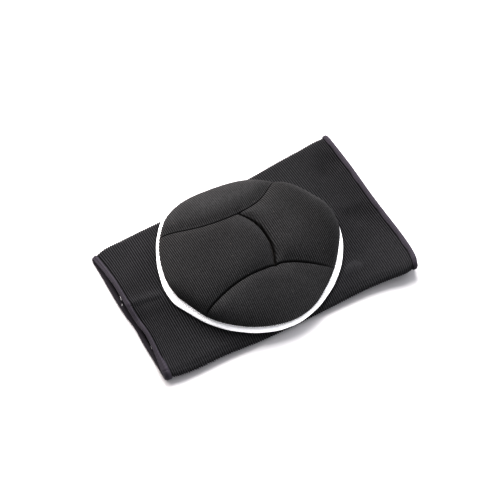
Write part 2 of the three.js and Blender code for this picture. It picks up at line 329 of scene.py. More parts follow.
@dataclass(frozen=True)
class RibKnit:
    """Polyester and elastane rib knit, dyed in the yarn and left matt.

    To the eye it is a soft charcoal of fine parallel ribs, a haze of fibre that brightens it at a
    glancing angle, and hardly any gloss. The dark colour of the furrows is painted shade.
    """

    name: str
    ridge: str
    furrow_shade: str
    haze: str
    haze_weight: float
    stitch: float  # mm along the rib; real stitches are about 0.8 mm, drawn coarser so that they show
    stitch_relief: float  # mm
    slub: float  # share by which thick and thin places in the yarn, about 1.4 mm long, change its tone
    roughness: float = 0.86

    def material(self) -> bpy.types.Material:
        """Builds the shader.

        Returns:
            The material.
        """
        made, tree = blank_material(self.name)
        weave = add_node(tree, "Attribute", {"attribute_name": "weave"}).outputs["Vector"]
        count, run, height = add_node(tree, "SeparateXYZ", links={0: weave}).outputs
        place = {"Vector": add_node(tree, "TexCoord").outputs["Object"]}
        # Loops of yarn: a chevron on each rib, one stitch after another
        turn = add_node(tree, "Math", {"operation": "MULTIPLY", 1: 2 * math.pi}, {0: count})
        lean = add_node(tree, "Math", {"operation": "COSINE"}, {0: turn})
        along = add_node(tree, "Math", {"operation": "MULTIPLY", 1: 2 * math.pi / self.stitch}, {0: run})
        leaned = add_node(tree, "Math", {"operation": "MULTIPLY_ADD", 1: 1.1}, {0: lean, 2: along})
        loops = add_node(tree, "Math", {"operation": "SINE"}, {0: leaned})
        # Fibre ends about 0.3 mm apart, slubs about 1.4 mm long and cloudy dyeing about 30 mm across
        fibre = add_node(tree, "TexNoise", {"Scale": 1 / 0.0003, "Detail": 2.0, "Roughness": 0.6}, place)
        uneven = add_node(tree, "TexNoise", {"Scale": 1 / 0.0014, "Detail": 0.0}, place)
        cloud = add_node(tree, "TexNoise", {"Scale": 1 / 0.03, "Detail": 3.0}, place)
        relief = add_node(tree, "Math", {"operation": "MULTIPLY_ADD", 1: 0.35}, {0: loops, 2: fibre})
        depth = self.stitch_relief * MM
        bump = add_node(tree, "Bump", {"Strength": 0.6, "Distance": depth}, {"Height": relief})
        # Painted shade: the furrows' colour darkens the rib furrows, and the weave's third number also
        # carries painted light and shade
        ends = {6: hex_to_linear(self.furrow_shade), 7: hex_to_linear(self.ridge)}
        yarn = add_node(tree, "Mix", {"data_type": "RGBA", **ends}, {0: height})
        speckle = add_node(tree, "MapRange", {3: 0.72, 4: 1.28}, {0: fibre})
        stitches = add_node(tree, "Math", {"operation": "MULTIPLY_ADD", 1: 0.10}, {0: loops, 2: speckle})
        dye = add_node(tree, "MapRange", {1: 0.3, 2: 0.7, 3: 0.92, 4: 1.08}, {0: cloud})
        thick = {3: 1 - self.slub, 4: 1 + self.slub}
        slubs = add_node(tree, "MapRange", {1: 0.25, 2: 0.75, **thick}, {0: uneven})
        clouded = add_node(tree, "Math", {"operation": "MULTIPLY"}, {0: slubs, 1: dye})
        tone = add_node(tree, "Math", {"operation": "MULTIPLY"}, {0: stitches, 1: clouded})
        dyed = add_node(tree, "VectorMath", {"operation": "SCALE"}, {0: yarn.outputs[2], "Scale": tone})
        # Specks of lint under 1 mm across
        lint = add_node(tree, "TexVoronoi", {"Scale": 1 / 0.011}, place)
        speck = add_node(tree, "MapRange", {1: 0.02, 2: 0.04, 3: 0.16, 4: 0.0}, {0: lint})
        pale = hex_to_linear(self.haze)
        colour = add_node(tree, "Mix", {"data_type": "RGBA", 7: pale}, {0: speck, 6: dyed})
        rough = {3: self.roughness - 0.08, 4: self.roughness + 0.08}
        matt = add_node(tree, "MapRange", rough, {0: fibre})
        haze = {"Sheen Weight": self.haze_weight, "Sheen Roughness": 0.3, "Sheen Tint": pale}
        shader = add_node(
            tree,
            "BsdfPrincipled",
            {"IOR": 1.5, "Specular IOR Level": 0.04, **haze},
            {"Base Color": colour.outputs[2], "Roughness": matt, "Normal": bump},
        )
        add_node(tree, "OutputMaterial", links={"Surface": shader})
        return made


@dataclass(frozen=True)
class WovenTape:
    """Narrow polyester tape, woven, folded in half and sewn down.

    To the eye it is smoother than the knit beside it: fine lines of weave, a soft gloss along its
    rounded fold, and a shade that gathers in the weave.
    """

    name: str
    face: str
    shade: str
    thread: float  # mm between lines of weave; real ones are about 0.35 mm, drawn coarser so that they show
    relief: float  # mm
    roughness: float
    gloss: float
    haze_weight: float
    painted_glow: float = 0.0  # painted light: the white tape glows a little so that it stays white in the pad's shade

    def material(self) -> bpy.types.Material:
        """Builds the shader.

        Returns:
            The material.
        """
        made, tree = blank_material(self.name)
        weave = add_node(tree, "Attribute", {"attribute_name": "weave"}).outputs["Vector"]
        over, run, height = add_node(tree, "SeparateXYZ", links={0: weave}).outputs
        place = {"Vector": add_node(tree, "TexCoord").outputs["Object"]}
        waves = []
        for way in (over, run):
            turn = add_node(tree, "Math", {"operation": "MULTIPLY", 1: 2 * math.pi / self.thread}, {0: way})
            waves.append(add_node(tree, "Math", {"operation": "SINE"}, {0: turn}))
        cross = add_node(tree, "Math", {"operation": "MULTIPLY"}, {0: waves[0], 1: waves[1]})
        fibre = add_node(tree, "TexNoise", {"Scale": 1 / 0.0004, "Detail": 2.0}, place)
        relief = add_node(tree, "Math", {"operation": "MULTIPLY_ADD", 1: 0.5}, {0: cross, 2: fibre})
        depth = self.relief * MM
        bump = add_node(tree, "Bump", {"Strength": 0.5, "Distance": depth}, {"Height": relief})
        # The weave's third number brings painted shade into the colour
        tone_and_painted_shade = add_node(tree, "Math", {"operation": "MULTIPLY_ADD", 1: 0.3}, {0: cross, 2: height})
        shown = add_node(tree, "MapRange", {1: 0.0, 2: 1.0, 3: 0.0, 4: 1.0}, {0: tone_and_painted_shade})
        ends = {6: hex_to_linear(self.shade), 7: hex_to_linear(self.face)}
        colour = add_node(tree, "Mix", {"data_type": "RGBA", **ends}, {0: shown})
        rough = {3: self.roughness - 0.07, 4: self.roughness + 0.07}
        matt = add_node(tree, "MapRange", rough, {0: fibre})
        haze = {"Sheen Weight": self.haze_weight, "Sheen Roughness": 0.4}
        # Painted light: the emission lifts the tape where it lies in shade
        painted_glow = {"Emission Color": hex_to_linear(self.face), "Emission Strength": self.painted_glow}
        shader = add_node(
            tree,
            "BsdfPrincipled",
            {"IOR": 1.53, "Specular IOR Level": self.gloss, **haze, **painted_glow},
            {"Base Color": colour.outputs[2], "Roughness": matt, "Normal": bump},
        )
        add_node(tree, "OutputMaterial", links={"Surface": shader})
        return made


@dataclass(frozen=True)
class SewingThread:
    """Spun polyester sewing thread, twisted from three plies: matt, with a fine slanting twist."""

    name: str
    colour: str
    twist: float = 0.6  # mm a turn

    def material(self) -> bpy.types.Material:
        """Builds the shader.

        Returns:
            The material.
        """
        made, tree = blank_material(self.name)
        place = {"Vector": add_node(tree, "TexCoord").outputs["Object"]}
        slant = {"bands_direction": "DIAGONAL", "Scale": 0.3 / (self.twist * MM), "Distortion": 1.0}
        plies = add_node(tree, "TexWave", slant, place).outputs["Fac"]
        bump = add_node(tree, "Bump", {"Strength": 0.5, "Distance": 0.05 * MM}, {"Height": plies})
        tone = add_node(tree, "MapRange", {3: 0.8, 4: 1.1}, {0: plies})
        dye = {"operation": "SCALE", 0: hex_to_linear(self.colour)[:3]}
        colour = add_node(tree, "VectorMath", dye, {"Scale": tone})
        shader = add_node(
            tree,
            "BsdfPrincipled",
            {"IOR": 1.5, "Roughness": 0.7, "Specular IOR Level": 0.3},
            {"Base Color": colour, "Normal": bump},
        )
        add_node(tree, "OutputMaterial", links={"Surface": shader})
        return made


@dataclass(frozen=True)
class SweepPaper:
    """Matt white background paper, uncoated: it scatters light evenly and has no gloss."""

    name: str
    colour: str

    def material(self) -> bpy.types.Material:
        """Builds the shader.

        Returns:
            The material.
        """
        made, tree = blank_material(self.name)
        matt = {"Roughness": 1.0, "Specular IOR Level": 0.0}
        shader = add_node(tree, "BsdfPrincipled", {"Base Color": hex_to_linear(self.colour), **matt})
        add_node(tree, "OutputMaterial", links={"Surface": shader})
        return made


SLEEVE_KNIT = RibKnit("rib_knit_polyester_sleeve", "3B3B3D", "050506", "B8B4B6", 0.04, 1.3, 0.16, 0.1)
PAD_KNIT = RibKnit("rib_knit_polyester_pad_cover", "3F3F40", "050505", "D8CAC2", 0.12, 1.5, 0.16, 0.15)
BINDING_TAPE = WovenTape("woven_polyester_binding_tape", "3E3A42", "232026", 0.7, 0.06, 0.65, 0.15, 0.03)
WHITE_TAPE = WovenTape("woven_polyester_white_edge_tape", "FCFCFD", "F2F1F5", 0.8, 0.06, 0.75, 0.3, 0.0, 0.22)
DARK_THREAD = SewingThread("spun_polyester_thread_black", "2E2A2E")
WHITE_THREAD = SewingThread("spun_polyester_thread_white", "F2F2F4")
PAPER = SweepPaper("uncoated_white_paper", "CBCACB")


@dataclass(frozen=True)
class Fold:
    """A soft ridge or hollow that packing has left in the upper ply.

    It runs from start to end in plan. height is negative for a hollow, and each flank has its own
    width, left and right of the way it runs.
    """

    start: tuple[float, float]
    end: tuple[float, float]
    height: float
    left: float
    right: float
    tail: float

    def relief(self, x: np.ndarray, y: np.ndarray) -> np.ndarray:
        """Height that the fold adds.

        Args:
            x: places along the sleeve.
            y: places across it.

        Returns:
            Millimetres to add to the upper ply's height.
        """
        run = np.subtract(self.end, self.start)
        length = float(np.hypot(*run))
        ahead_x, ahead_y = run / length
        along = (x - self.start[0]) * ahead_x + (y - self.start[1]) * ahead_y
        across = (y - self.start[1]) * ahead_x - (x - self.start[0]) * ahead_y
        beyond = np.maximum(0, np.maximum(-along, along - length))
        width = np.where(across > 0, self.left, self.right)
        return self.height * np.exp(-((across / width) ** 2) - (beyond / self.tail) ** 2)


@dataclass
class PadOutline:
    """Outline of the pad in plan: the white tape's outer edge and the widest line of the dome."""

    centre: tuple[float, float] = (-1.0, 1.1)
    columns: str = "angle reach dome_inset shoulder edge"
    # Angle in degrees, reach of the tape's outer edge, how far inside it the dome is widest, and the
    # dome's fall: a high shoulder number keeps its top flat for longer, and an edge of 1 instead of 0.5
    # ends it in a slope instead of a rounded wall
    rows: Rows = (
        (0, 72.9, 1.9, 7.0, 0.50),
        (15, 68.6, 2.1, 8.5, 0.50),
        (30, 66.4, 1.8, 9.0, 0.50),
        (60, 64.8, 2.4, 9.0, 0.50),
        (90, 67.2, 2.6, 6.0, 0.50),
        (125, 78.8, 4.2, 4.6, 0.50),
        (139, 77.1, 2.8, 4.6, 0.50),
        (150, 75.8, 2.2, 4.6, 0.50),
        (165, 75.9, 3.0, 5.5, 0.50),
        (180, 77.0, 3.8, 8.0, 0.50),
        (188, 77.0, 4.5, 10.0, 0.50),
        (197, 74.5, 4.0, 12.0, 0.50),
        (212, 72.6, 2.6, 12.0, 0.50),
        (232, 70.6, 2.4, 6.0, 0.58),
        (252, 70.5, 2.4, 2.4, 0.85),
        (272, 70.8, 1.6, 1.7, 1.00),
        (286, 70.6, 1.8, 1.7, 0.98),
        (300, 70.4, 3.3, 1.8, 0.95),
        (330, 72.2, 3.9, 4.2, 0.60),
        (345, 72.8, 1.2, 5.6, 0.52),
    )

    def __post_init__(self) -> None:
        """Carries the table past a full turn at both ends, so that its curve closes smoothly."""
        turns = [(row[0] + turn, *row[1:]) for turn in (-360, 0, 360) for row in self.rows]
        self.table = SmoothTable(self.columns, turns)

    def angle(self, x: np.ndarray, y: np.ndarray) -> np.ndarray:
        """Angle of plan points round the pad's centre, in degrees."""
        return np.degrees(np.arctan2(y - self.centre[1], x - self.centre[0]))

    def distance(self, x: np.ndarray, y: np.ndarray) -> np.ndarray:
        """Distance of plan points from the pad's centre."""
        return np.hypot(x - self.centre[0], y - self.centre[1])

    def inside(self, angle: np.ndarray, inset: np.ndarray | float) -> tuple[np.ndarray, np.ndarray]:
        """Plan points a distance inside the tape's outer edge.

        Args:
            angle: angles round the centre, in degrees.
            inset: distance inside the edge.

        Returns:
            The points' x and y.
        """
        reach = self.table.at(angle)["reach"] - inset
        turn = np.radians(angle)
        return self.centre[0] + reach * np.cos(turn), self.centre[1] + reach * np.sin(turn)

    def rim(self, angle: np.ndarray) -> tuple[np.ndarray, np.ndarray]:
        """Plan points on the widest line of the dome, as x and y."""
        return self.inside(angle, self.table.at(angle)["dome_inset"])

    def share(self, x: np.ndarray, y: np.ndarray) -> np.ndarray:
        """Distance from the centre as a share of the way to the dome's widest line, at most 1."""
        found = self.table.at(self.angle(x, y))
        return np.minimum(1, self.distance(x, y) / (found["reach"] - found["dome_inset"]))

    def outside(self, x: np.ndarray, y: np.ndarray) -> np.ndarray:
        """Distance of plan points outside the tape's outer edge, negative inside it."""
        return self.distance(x, y) - self.table.at(self.angle(x, y))["reach"]


@dataclass(frozen=True)
class RingCounts:
    """Points round one ring of the sleeve: along the lower ply, along the upper ply, round each fold."""

    lower: int
    upper: int
    fold: int


@dataclass(frozen=True)
class Mouth:
    """How far an opening's edge is drawn along the sleeve, which fades out at its reach.

    The table's rows each give a place across the sleeve, from -1 at the front fold to 1 at the back fold,
    and how far the lower ply and the crown of the upper ply are drawn there.
    """

    edge: float
    reach: float
    table: SmoothTable
    fade: float = 1.4

    def draw(self, x: np.ndarray, across: np.ndarray, rise: np.ndarray) -> np.ndarray:
        """How far points are drawn along X.

        Args:
            x: places along the sleeve.
            across: places across it, from -1 to 1.
            rise: heights as a share of the crown's height.

        Returns:
            Millimetres along X.
        """
        found = self.table.at(across)
        near = np.maximum(0, 1 - np.abs(x - self.edge) / self.reach) ** self.fade
        return near * (found["low"] + (found["high"] - found["low"]) * rise)


@dataclass
class SleeveForm:
    """The flattened tube as a form: heights of its two plies, and rings of points round it."""

    outline: PadOutline  # within which the upper ply lies smooth
    fold_height: float = 8.0
    wall: float = 2.0
    lift_start: float = 0.2
    crease_y: float = -3.0
    crease_spread: float = 7.0
    tight_angle: float = 218.0  # of the pad's steep side, beside which painted shadow falls on the upper ply
    first: float = -110.6
    last: float = 110.7
    # Sections, a row each: place, reach of the front and back folds, heights of the upper and lower
    # plies, lift of the front fold, height of the back fold, height of the packing crease
    columns: str = "x front back crown base lift fold crease"
    sections: Rows = (
        (-110.6, 58.6, 63.5, 12.6, 1.1, 1.2, 3.6, -0.8),
        (-101.0, 61.4, 66.0, 13.4, 1.1, 1.4, 5.6, 1.0),
        (-86.0, 63.1, 66.4, 14.8, 0.0, 1.6, 7.6, 1.8),
        (-60.0, 63.9, 66.7, 16.4, 0.0, 1.5, 8.0, 0.0),
        (-28.0, 66.7, 66.0, 16.9, 0.0, 1.0, 8.0, 0.0),
        (0.0, 67.9, 65.8, 17.0, 0.0, 1.0, 8.0, 0.0),
        (35.0, 68.4, 67.4, 16.7, 0.0, 1.4, 8.0, 0.0),
        (62.0, 69.2, 69.5, 16.0, 0.0, 3.0, 8.0, 0.0),
        (82.0, 71.2, 70.6, 14.8, 0.0, 4.8, 8.0, 0.0),
        (101.0, 74.0, 71.3, 13.4, 1.1, 6.6, 8.0, 0.0),
        (110.7, 72.6, 70.6, 12.8, 1.1, 7.2, 8.0, 0.0),
    )
    # Openings' edges, a row each: place across, how far the lower and the upper ply are drawn along X
    edge_columns: str = "across low high"
    calf_edge: Rows = (
        (-1.0, 1.7, 1.1),
        (-0.85, 1.6, 1.8),
        (-0.72, 1.4, 3.0),
        (-0.6, 1.1, 4.0),
        (-0.35, 0.7, 4.9),
        (-0.12, 1.1, 3.9),
        (0.1, -0.4, 2.6),
        (0.3, -1.1, 2.7),
        (0.6, -1.3, 3.0),
        (0.85, -1.4, 2.8),
        (1.0, -1.5, 1.2),
    )
    thigh_edge: Rows = (
        (-1.0, -4.6, -4.2),
        (-0.93, -1.6, -2.4),
        (-0.85, 0.3, -1.2),
        (-0.75, 1.4, -0.5),
        (-0.5, 1.8, -0.3),
        (-0.25, 1.1, -0.9),
        (0.0, 0.6, -1.4),
        (0.5, 0.8, -1.1),
        (1.0, 0.0, -1.9),
    )
    folds: tuple[Fold, ...] = (
        Fold((-105, 6.4), (-78, 0.2), 2.0, 5.5, 1.4, 4.0),  # packing crease beside the pad
        Fold((-114, -8.5), (-108, -8.5), -1.8, 8.0, 8.0, 8.0),  # where the calf opening's plies touch
        Fold((95, 48), (95, -14), -1.6, 11.0, 9.0, 14.0),  # hollow beside the thigh opening
        Fold((102, 45), (90, 39), -1.5, 7.0, 8.0, 5.0),  # deeper dents at its two ends
        Fold((84, -8), (99, -13), -1.3, 7.0, 8.0, 6.0),
        Fold((85, 0), (97, 0), 0.6, 7.0, 2.6, 5.0),  # short crease in that hollow
        Fold((57, -49), (64, -50), 1.4, 5.0, 3.0, 6.0),  # ridge beyond the pad's front
    )

    def __post_init__(self) -> None:
        """Makes smooth curves of the tables."""
        self.table = SmoothTable(self.columns, self.sections)
        calf, thigh = (SmoothTable(self.edge_columns, rows) for rows in (self.calf_edge, self.thigh_edge))
        self.mouths = (Mouth(self.first, 25.0, calf), Mouth(self.last, 40.0, thigh))

    @staticmethod
    def across(s: dict[str, np.ndarray], y: np.ndarray) -> np.ndarray:
        """Place across a section, from -1 at its front fold to 1 at its back fold."""
        return (y - (s["back"] - s["front"]) / 2) / ((s["front"] + s["back"]) / 2)

    def squash(self, s: dict[str, np.ndarray], across: np.ndarray) -> np.ndarray:
        """How flat the tube is pressed towards its back fold, as a share of its usual fold."""
        return 1 + (s["fold"] / self.fold_height - 1) * smooth_step(0.3, 1.0, across)

    def lower(self, x: np.ndarray, y: np.ndarray) -> np.ndarray:
        """Height of the lower ply's outer face above the floor.

        Args:
            x: places along the sleeve.
            y: places across it.

        Returns:
            Millimetres.
        """
        s = self.table.at(x)
        rise = np.maximum(0, (-self.across(s, y) - self.lift_start) / (1 - self.lift_start))
        return np.maximum(0, s["base"]) + s["lift"] * rise**2

    def upper(self, x: np.ndarray, y: np.ndarray) -> np.ndarray:
        """Height of the upper ply's outer face above the floor.

        Args:
            x: places along the sleeve.
            y: places across it.

        Returns:
            Millimetres.
        """
        s = self.table.at(x)
        across = self.across(s, y)
        arch = (s["crown"] - s["base"] - self.fold_height) * (1 - across**2)
        crease = s["crease"] * np.exp(-(((y - self.crease_y) / self.crease_spread) ** 2))
        return self.lower(x, y) + self.fold_height * self.squash(s, across) + arch + crease

    def over(self, x: np.ndarray, y: np.ndarray, height: np.ndarray | float) -> np.ndarray:
        """Points at a height over the upper ply."""
        return np.stack([x, y, self.upper(x, y) + height], axis=-1)

    def relief(self, x: np.ndarray, y: np.ndarray) -> np.ndarray:
        """Packing folds of the upper ply beside the pad, which end at the pad and at the sides.

        Args:
            x: places along the sleeve.
            y: places across it.

        Returns:
            Millimetres to add to the upper ply's height.
        """
        s = self.table.at(x)
        to_side = np.minimum(y + s["front"], s["back"] - y) - self.fold_height / 2
        clear = smooth_step(1.0, 7.0, self.outline.outside(x, y)) * smooth_step(0.0, 14.0, to_side)
        return clear * sum(fold.relief(x, y) for fold in self.folds)

    def painted_light_and_shade(self, x: np.ndarray, y: np.ndarray) -> np.ndarray:
        """Painted light and shade on the upper ply at plan points, given as a change to the ribs' power.

        Args:
            x: places along the sleeve.
            y: places across it.

        Returns:
            Above 0 for painted shade in hollows, beside the pad's steep side, along the white tape's edge and
            towards the thigh; below 0 for painted light on ridges and towards the front fold.
        """
        # Painted shade in hollows and painted light on ridges; painted cast shadow beside the pad's steep
        # side
        hollow = np.clip(-self.relief(x, y) / 2.2, -0.4, 1.0)
        outside = self.outline.outside(x, y)
        towards = np.maximum(0, np.cos(np.radians(self.outline.angle(x, y) - self.tight_angle)))
        beside = 1.1 * (towards**2 * np.exp(-((np.maximum(0, outside) / 10) ** 2)))
        sewn = 2.0 * np.exp(-((outside / 1.4) ** 2))  # painted contact shadow along the white tape's edge
        drawn = 0.2 * np.exp(-(((x - 86) / 20) ** 2) - ((y - 14) / 34) ** 2)  # painted shade towards the thigh
        front_painted_light = 0.75 * smooth_step(15, 52, -y)  # painted light towards the front fold
        return hollow + beside + sewn + drawn - front_painted_light

    def ring(
        self, x: np.ndarray, depth: np.ndarray | float, counts: RingCounts, past: np.ndarray | float = 0.0
    ) -> tuple[np.ndarray, np.ndarray]:
        """Rings of points round the sleeve, a row for each place along it.

        Args:
            x: places along the sleeve.
            depth: depth of each ring below the outer face, negative above it.
            counts: points round a ring.
            past: how far each ring is moved along X.

        Returns:
            The points, and outward normals in the ring's plane.
        """
        x = np.asarray(x, dtype=float)[:, None]
        depth = np.broadcast_to(np.asarray(depth, dtype=float).reshape(-1, 1), x.shape)
        past = np.broadcast_to(np.asarray(past, dtype=float).reshape(-1, 1), x.shape)
        s = self.table.at(x)
        front_radius, back_radius = self.fold_height / 2, s["fold"] / 2
        front, back = front_radius - s["front"], s["back"] - back_radius
        low_y = front + (back - front) * np.arange(counts.lower) / counts.lower
        top_y = back + (front - back) * np.arange(counts.upper) / counts.upper
        turn = np.pi * (np.arange(counts.fold) / counts.fold - 0.5)
        back_y, front_y = back + back_radius * np.cos(turn), front - front_radius * np.cos(turn)
        low_z = self.lower(x, low_y)
        back_z = self.lower(x, back) + back_radius + back_radius * np.sin(turn)
        top_z = self.upper(x, top_y) + self.relief(x, top_y)
        front_z = self.lower(x, front) + front_radius - front_radius * np.sin(turn)
        y = np.hstack([low_y, back_y, top_y, front_y])
        z = np.hstack([low_z, back_z, top_z, front_z])
        step_y = np.roll(y, -1, axis=1) - np.roll(y, 1, axis=1)
        step_z = np.roll(z, -1, axis=1) - np.roll(z, 1, axis=1)
        length = np.hypot(step_y, step_z)
        out_y, out_z = step_z / length, -step_y / length
        across = y / ((s["front"] + s["back"]) / 2)
        depth = depth * self.squash(s, across)
        drawn = sum(mouth.draw(x, across, z / s["crown"]) for mouth in self.mouths)
        points = np.stack([x + past + drawn, y - out_y * depth, z - out_z * depth], axis=-1)
        return points, np.stack([np.zeros_like(out_y), out_y, out_z], axis=-1)


@dataclass
class KnitSleeve:
    """The ribbed tube: every rib is a ridge of the mesh, closed inside by a plain inner face."""

    form: SleeveForm
    rib_pitch: float = 1.85
    rib_depth: float = 1.0
    rib_power: float = 1.2
    samples: int = 5  # rows of points to a rib
    inner_rows: int = 44
    inner_tone: float = 0.4
    counts: RingCounts = RingCounts(28, 76, 8)

    def build(self) -> bpy.types.Object:
        """Makes the sleeve.

        Returns:
            The sleeve's object.
        """
        ribs = round((self.form.last - self.form.first) / self.rib_pitch)
        rows = ribs * self.samples + 1
        x = np.linspace(self.form.first, self.form.last, rows)
        phase = np.arange(rows) / self.samples
        height = rib_height(phase, self.rib_power)
        outer, _ = self.form.ring(x, self.rib_depth * (1 - height), self.counts)
        inner_x = np.linspace(self.form.last, self.form.first, self.inner_rows)
        inner, _ = self.form.ring(inner_x, self.form.wall, self.counts)
        points = np.concatenate([outer, inner])
        count = (np.concatenate([x, inner_x]) - self.form.first) / self.rib_pitch
        # Painted shade beside the calf binding's seam: the ribs' power rises there and darkens the colour
        binding_edge_shade = 4.0 * np.exp(-(((x - self.form.first - 3.1) / 0.9) ** 2))
        # This power sets only the colour, with the painted light and shade of the upper ply; the mesh keeps
        # plain ribs
        power = self.rib_power * (1 + binding_edge_shade[:, None] + self.form.painted_light_and_shade(outer[..., 0], outer[..., 1]))
        tone_and_painted_shade = np.vstack([rib_height(phase[:, None], power), np.full(inner.shape[:2], self.inner_tone)])
        weave = np.stack(np.broadcast_arrays(count[:, None], travel_along(points), tone_and_painted_shade), axis=-1)
        quads = grid_quads(*points.shape[:2], rows_closed=True, columns_closed=True)
        made = make_object("knit_sleeve", points, quads, SLEEVE_KNIT.material(), weave)
        return settle(made, "ribbed_knit", "sleeve")


def thread_tube(spine: np.ndarray, out: np.ndarray, thick: np.ndarray) -> tuple[np.ndarray, np.ndarray]:
    """A length of thread: a six-sided tube with closed ends.

    Args:
        spine: points along its middle.
        out: a direction across it at each point.
        thick: its radius at each point.

    Returns:
        The points, and the faces.
    """
    sides = np.arange(6)
    side = np.cross(np.gradient(spine, axis=0), out)
    side /= np.linalg.norm(side, axis=1, keepdims=True)
    turn = 2 * np.pi * sides / len(sides)
    across = side[:, None] * np.cos(turn)[None, :, None]
    ring = across + out[:, None] * np.sin(turn)[None, :, None]
    tube = spine[:, None] + ring * thick[:, None, None]
    points = np.vstack([tube.reshape(-1, 3), spine[[0, -1]]])
    after, tip = np.roll(sides, -1), np.full(len(sides), len(points) - 2)
    far = len(points) - 2 - len(sides)
    near_cap = np.stack([after, sides, tip, tip], axis=1)
    far_cap = np.stack([far + sides, far + after, tip + 1, tip + 1], axis=1)
    wall = grid_quads(len(spine), len(sides), columns_closed=True)
    return points, np.vstack([wall, near_cap, far_cap])


def thread_piece(
    name: str, tubes: list[tuple[np.ndarray, np.ndarray]], thread: SewingThread, slot: str
) -> bpy.types.Object:
    """Joins lengths of thread into one piece.

    Args:
        name: the piece's name.
        tubes: points and faces of each length, all with the same count of points.
        thread: the finish.
        slot: the record's material slot.

    Returns:
        The piece.
    """
    points = np.vstack([tube for tube, _ in tubes])
    faces = np.vstack([quads + number * len(tube) for number, (tube, quads) in enumerate(tubes)])
    return settle(make_object(name, points, faces, thread.material()), slot)


@dataclass
class StitchRow:
    """A row of sewn stitches: short rounded lengths of thread whose ends dip into the cloth."""

    name: str
    thread: SewingThread
    pitch: float
    length: float
    radius: float
    sink: float = 0.12

    def build(self, path: np.ndarray, normals: np.ndarray, slot: str) -> bpy.types.Object:
        """Makes the stitches along a closed path.

        Args:
            path: points of the path.
            normals: outward directions of the cloth at those points.
            slot: the record's material slot.

        Returns:
            One object with every stitch.
        """
        closed = np.vstack([path, path[:1]])
        facing = np.vstack([normals, normals[:1]])
        travel = travel_along(closed)
        count = int(travel[-1] / self.pitch)
        share = np.linspace(-1, 1, 7)
        thick = self.radius * np.sqrt(np.maximum(0.06, 1 - share**4))
        rise = self.radius * 0.6 - self.sink - self.radius * 1.2 * share**2
        tubes = []
        for stitch in range(count):
            places = (stitch + 0.5) * travel[-1] / count + share * self.length / 2
            spine, out = (
                np.stack([np.interp(places, travel, line[:, axis]) for axis in range(3)], axis=1)
                for line in (closed, facing)
            )
            out /= np.linalg.norm(out, axis=1, keepdims=True)
            tubes.append(thread_tube(spine + out * rise[:, None], out, thick))
        return thread_piece(self.name, tubes, self.thread, slot)


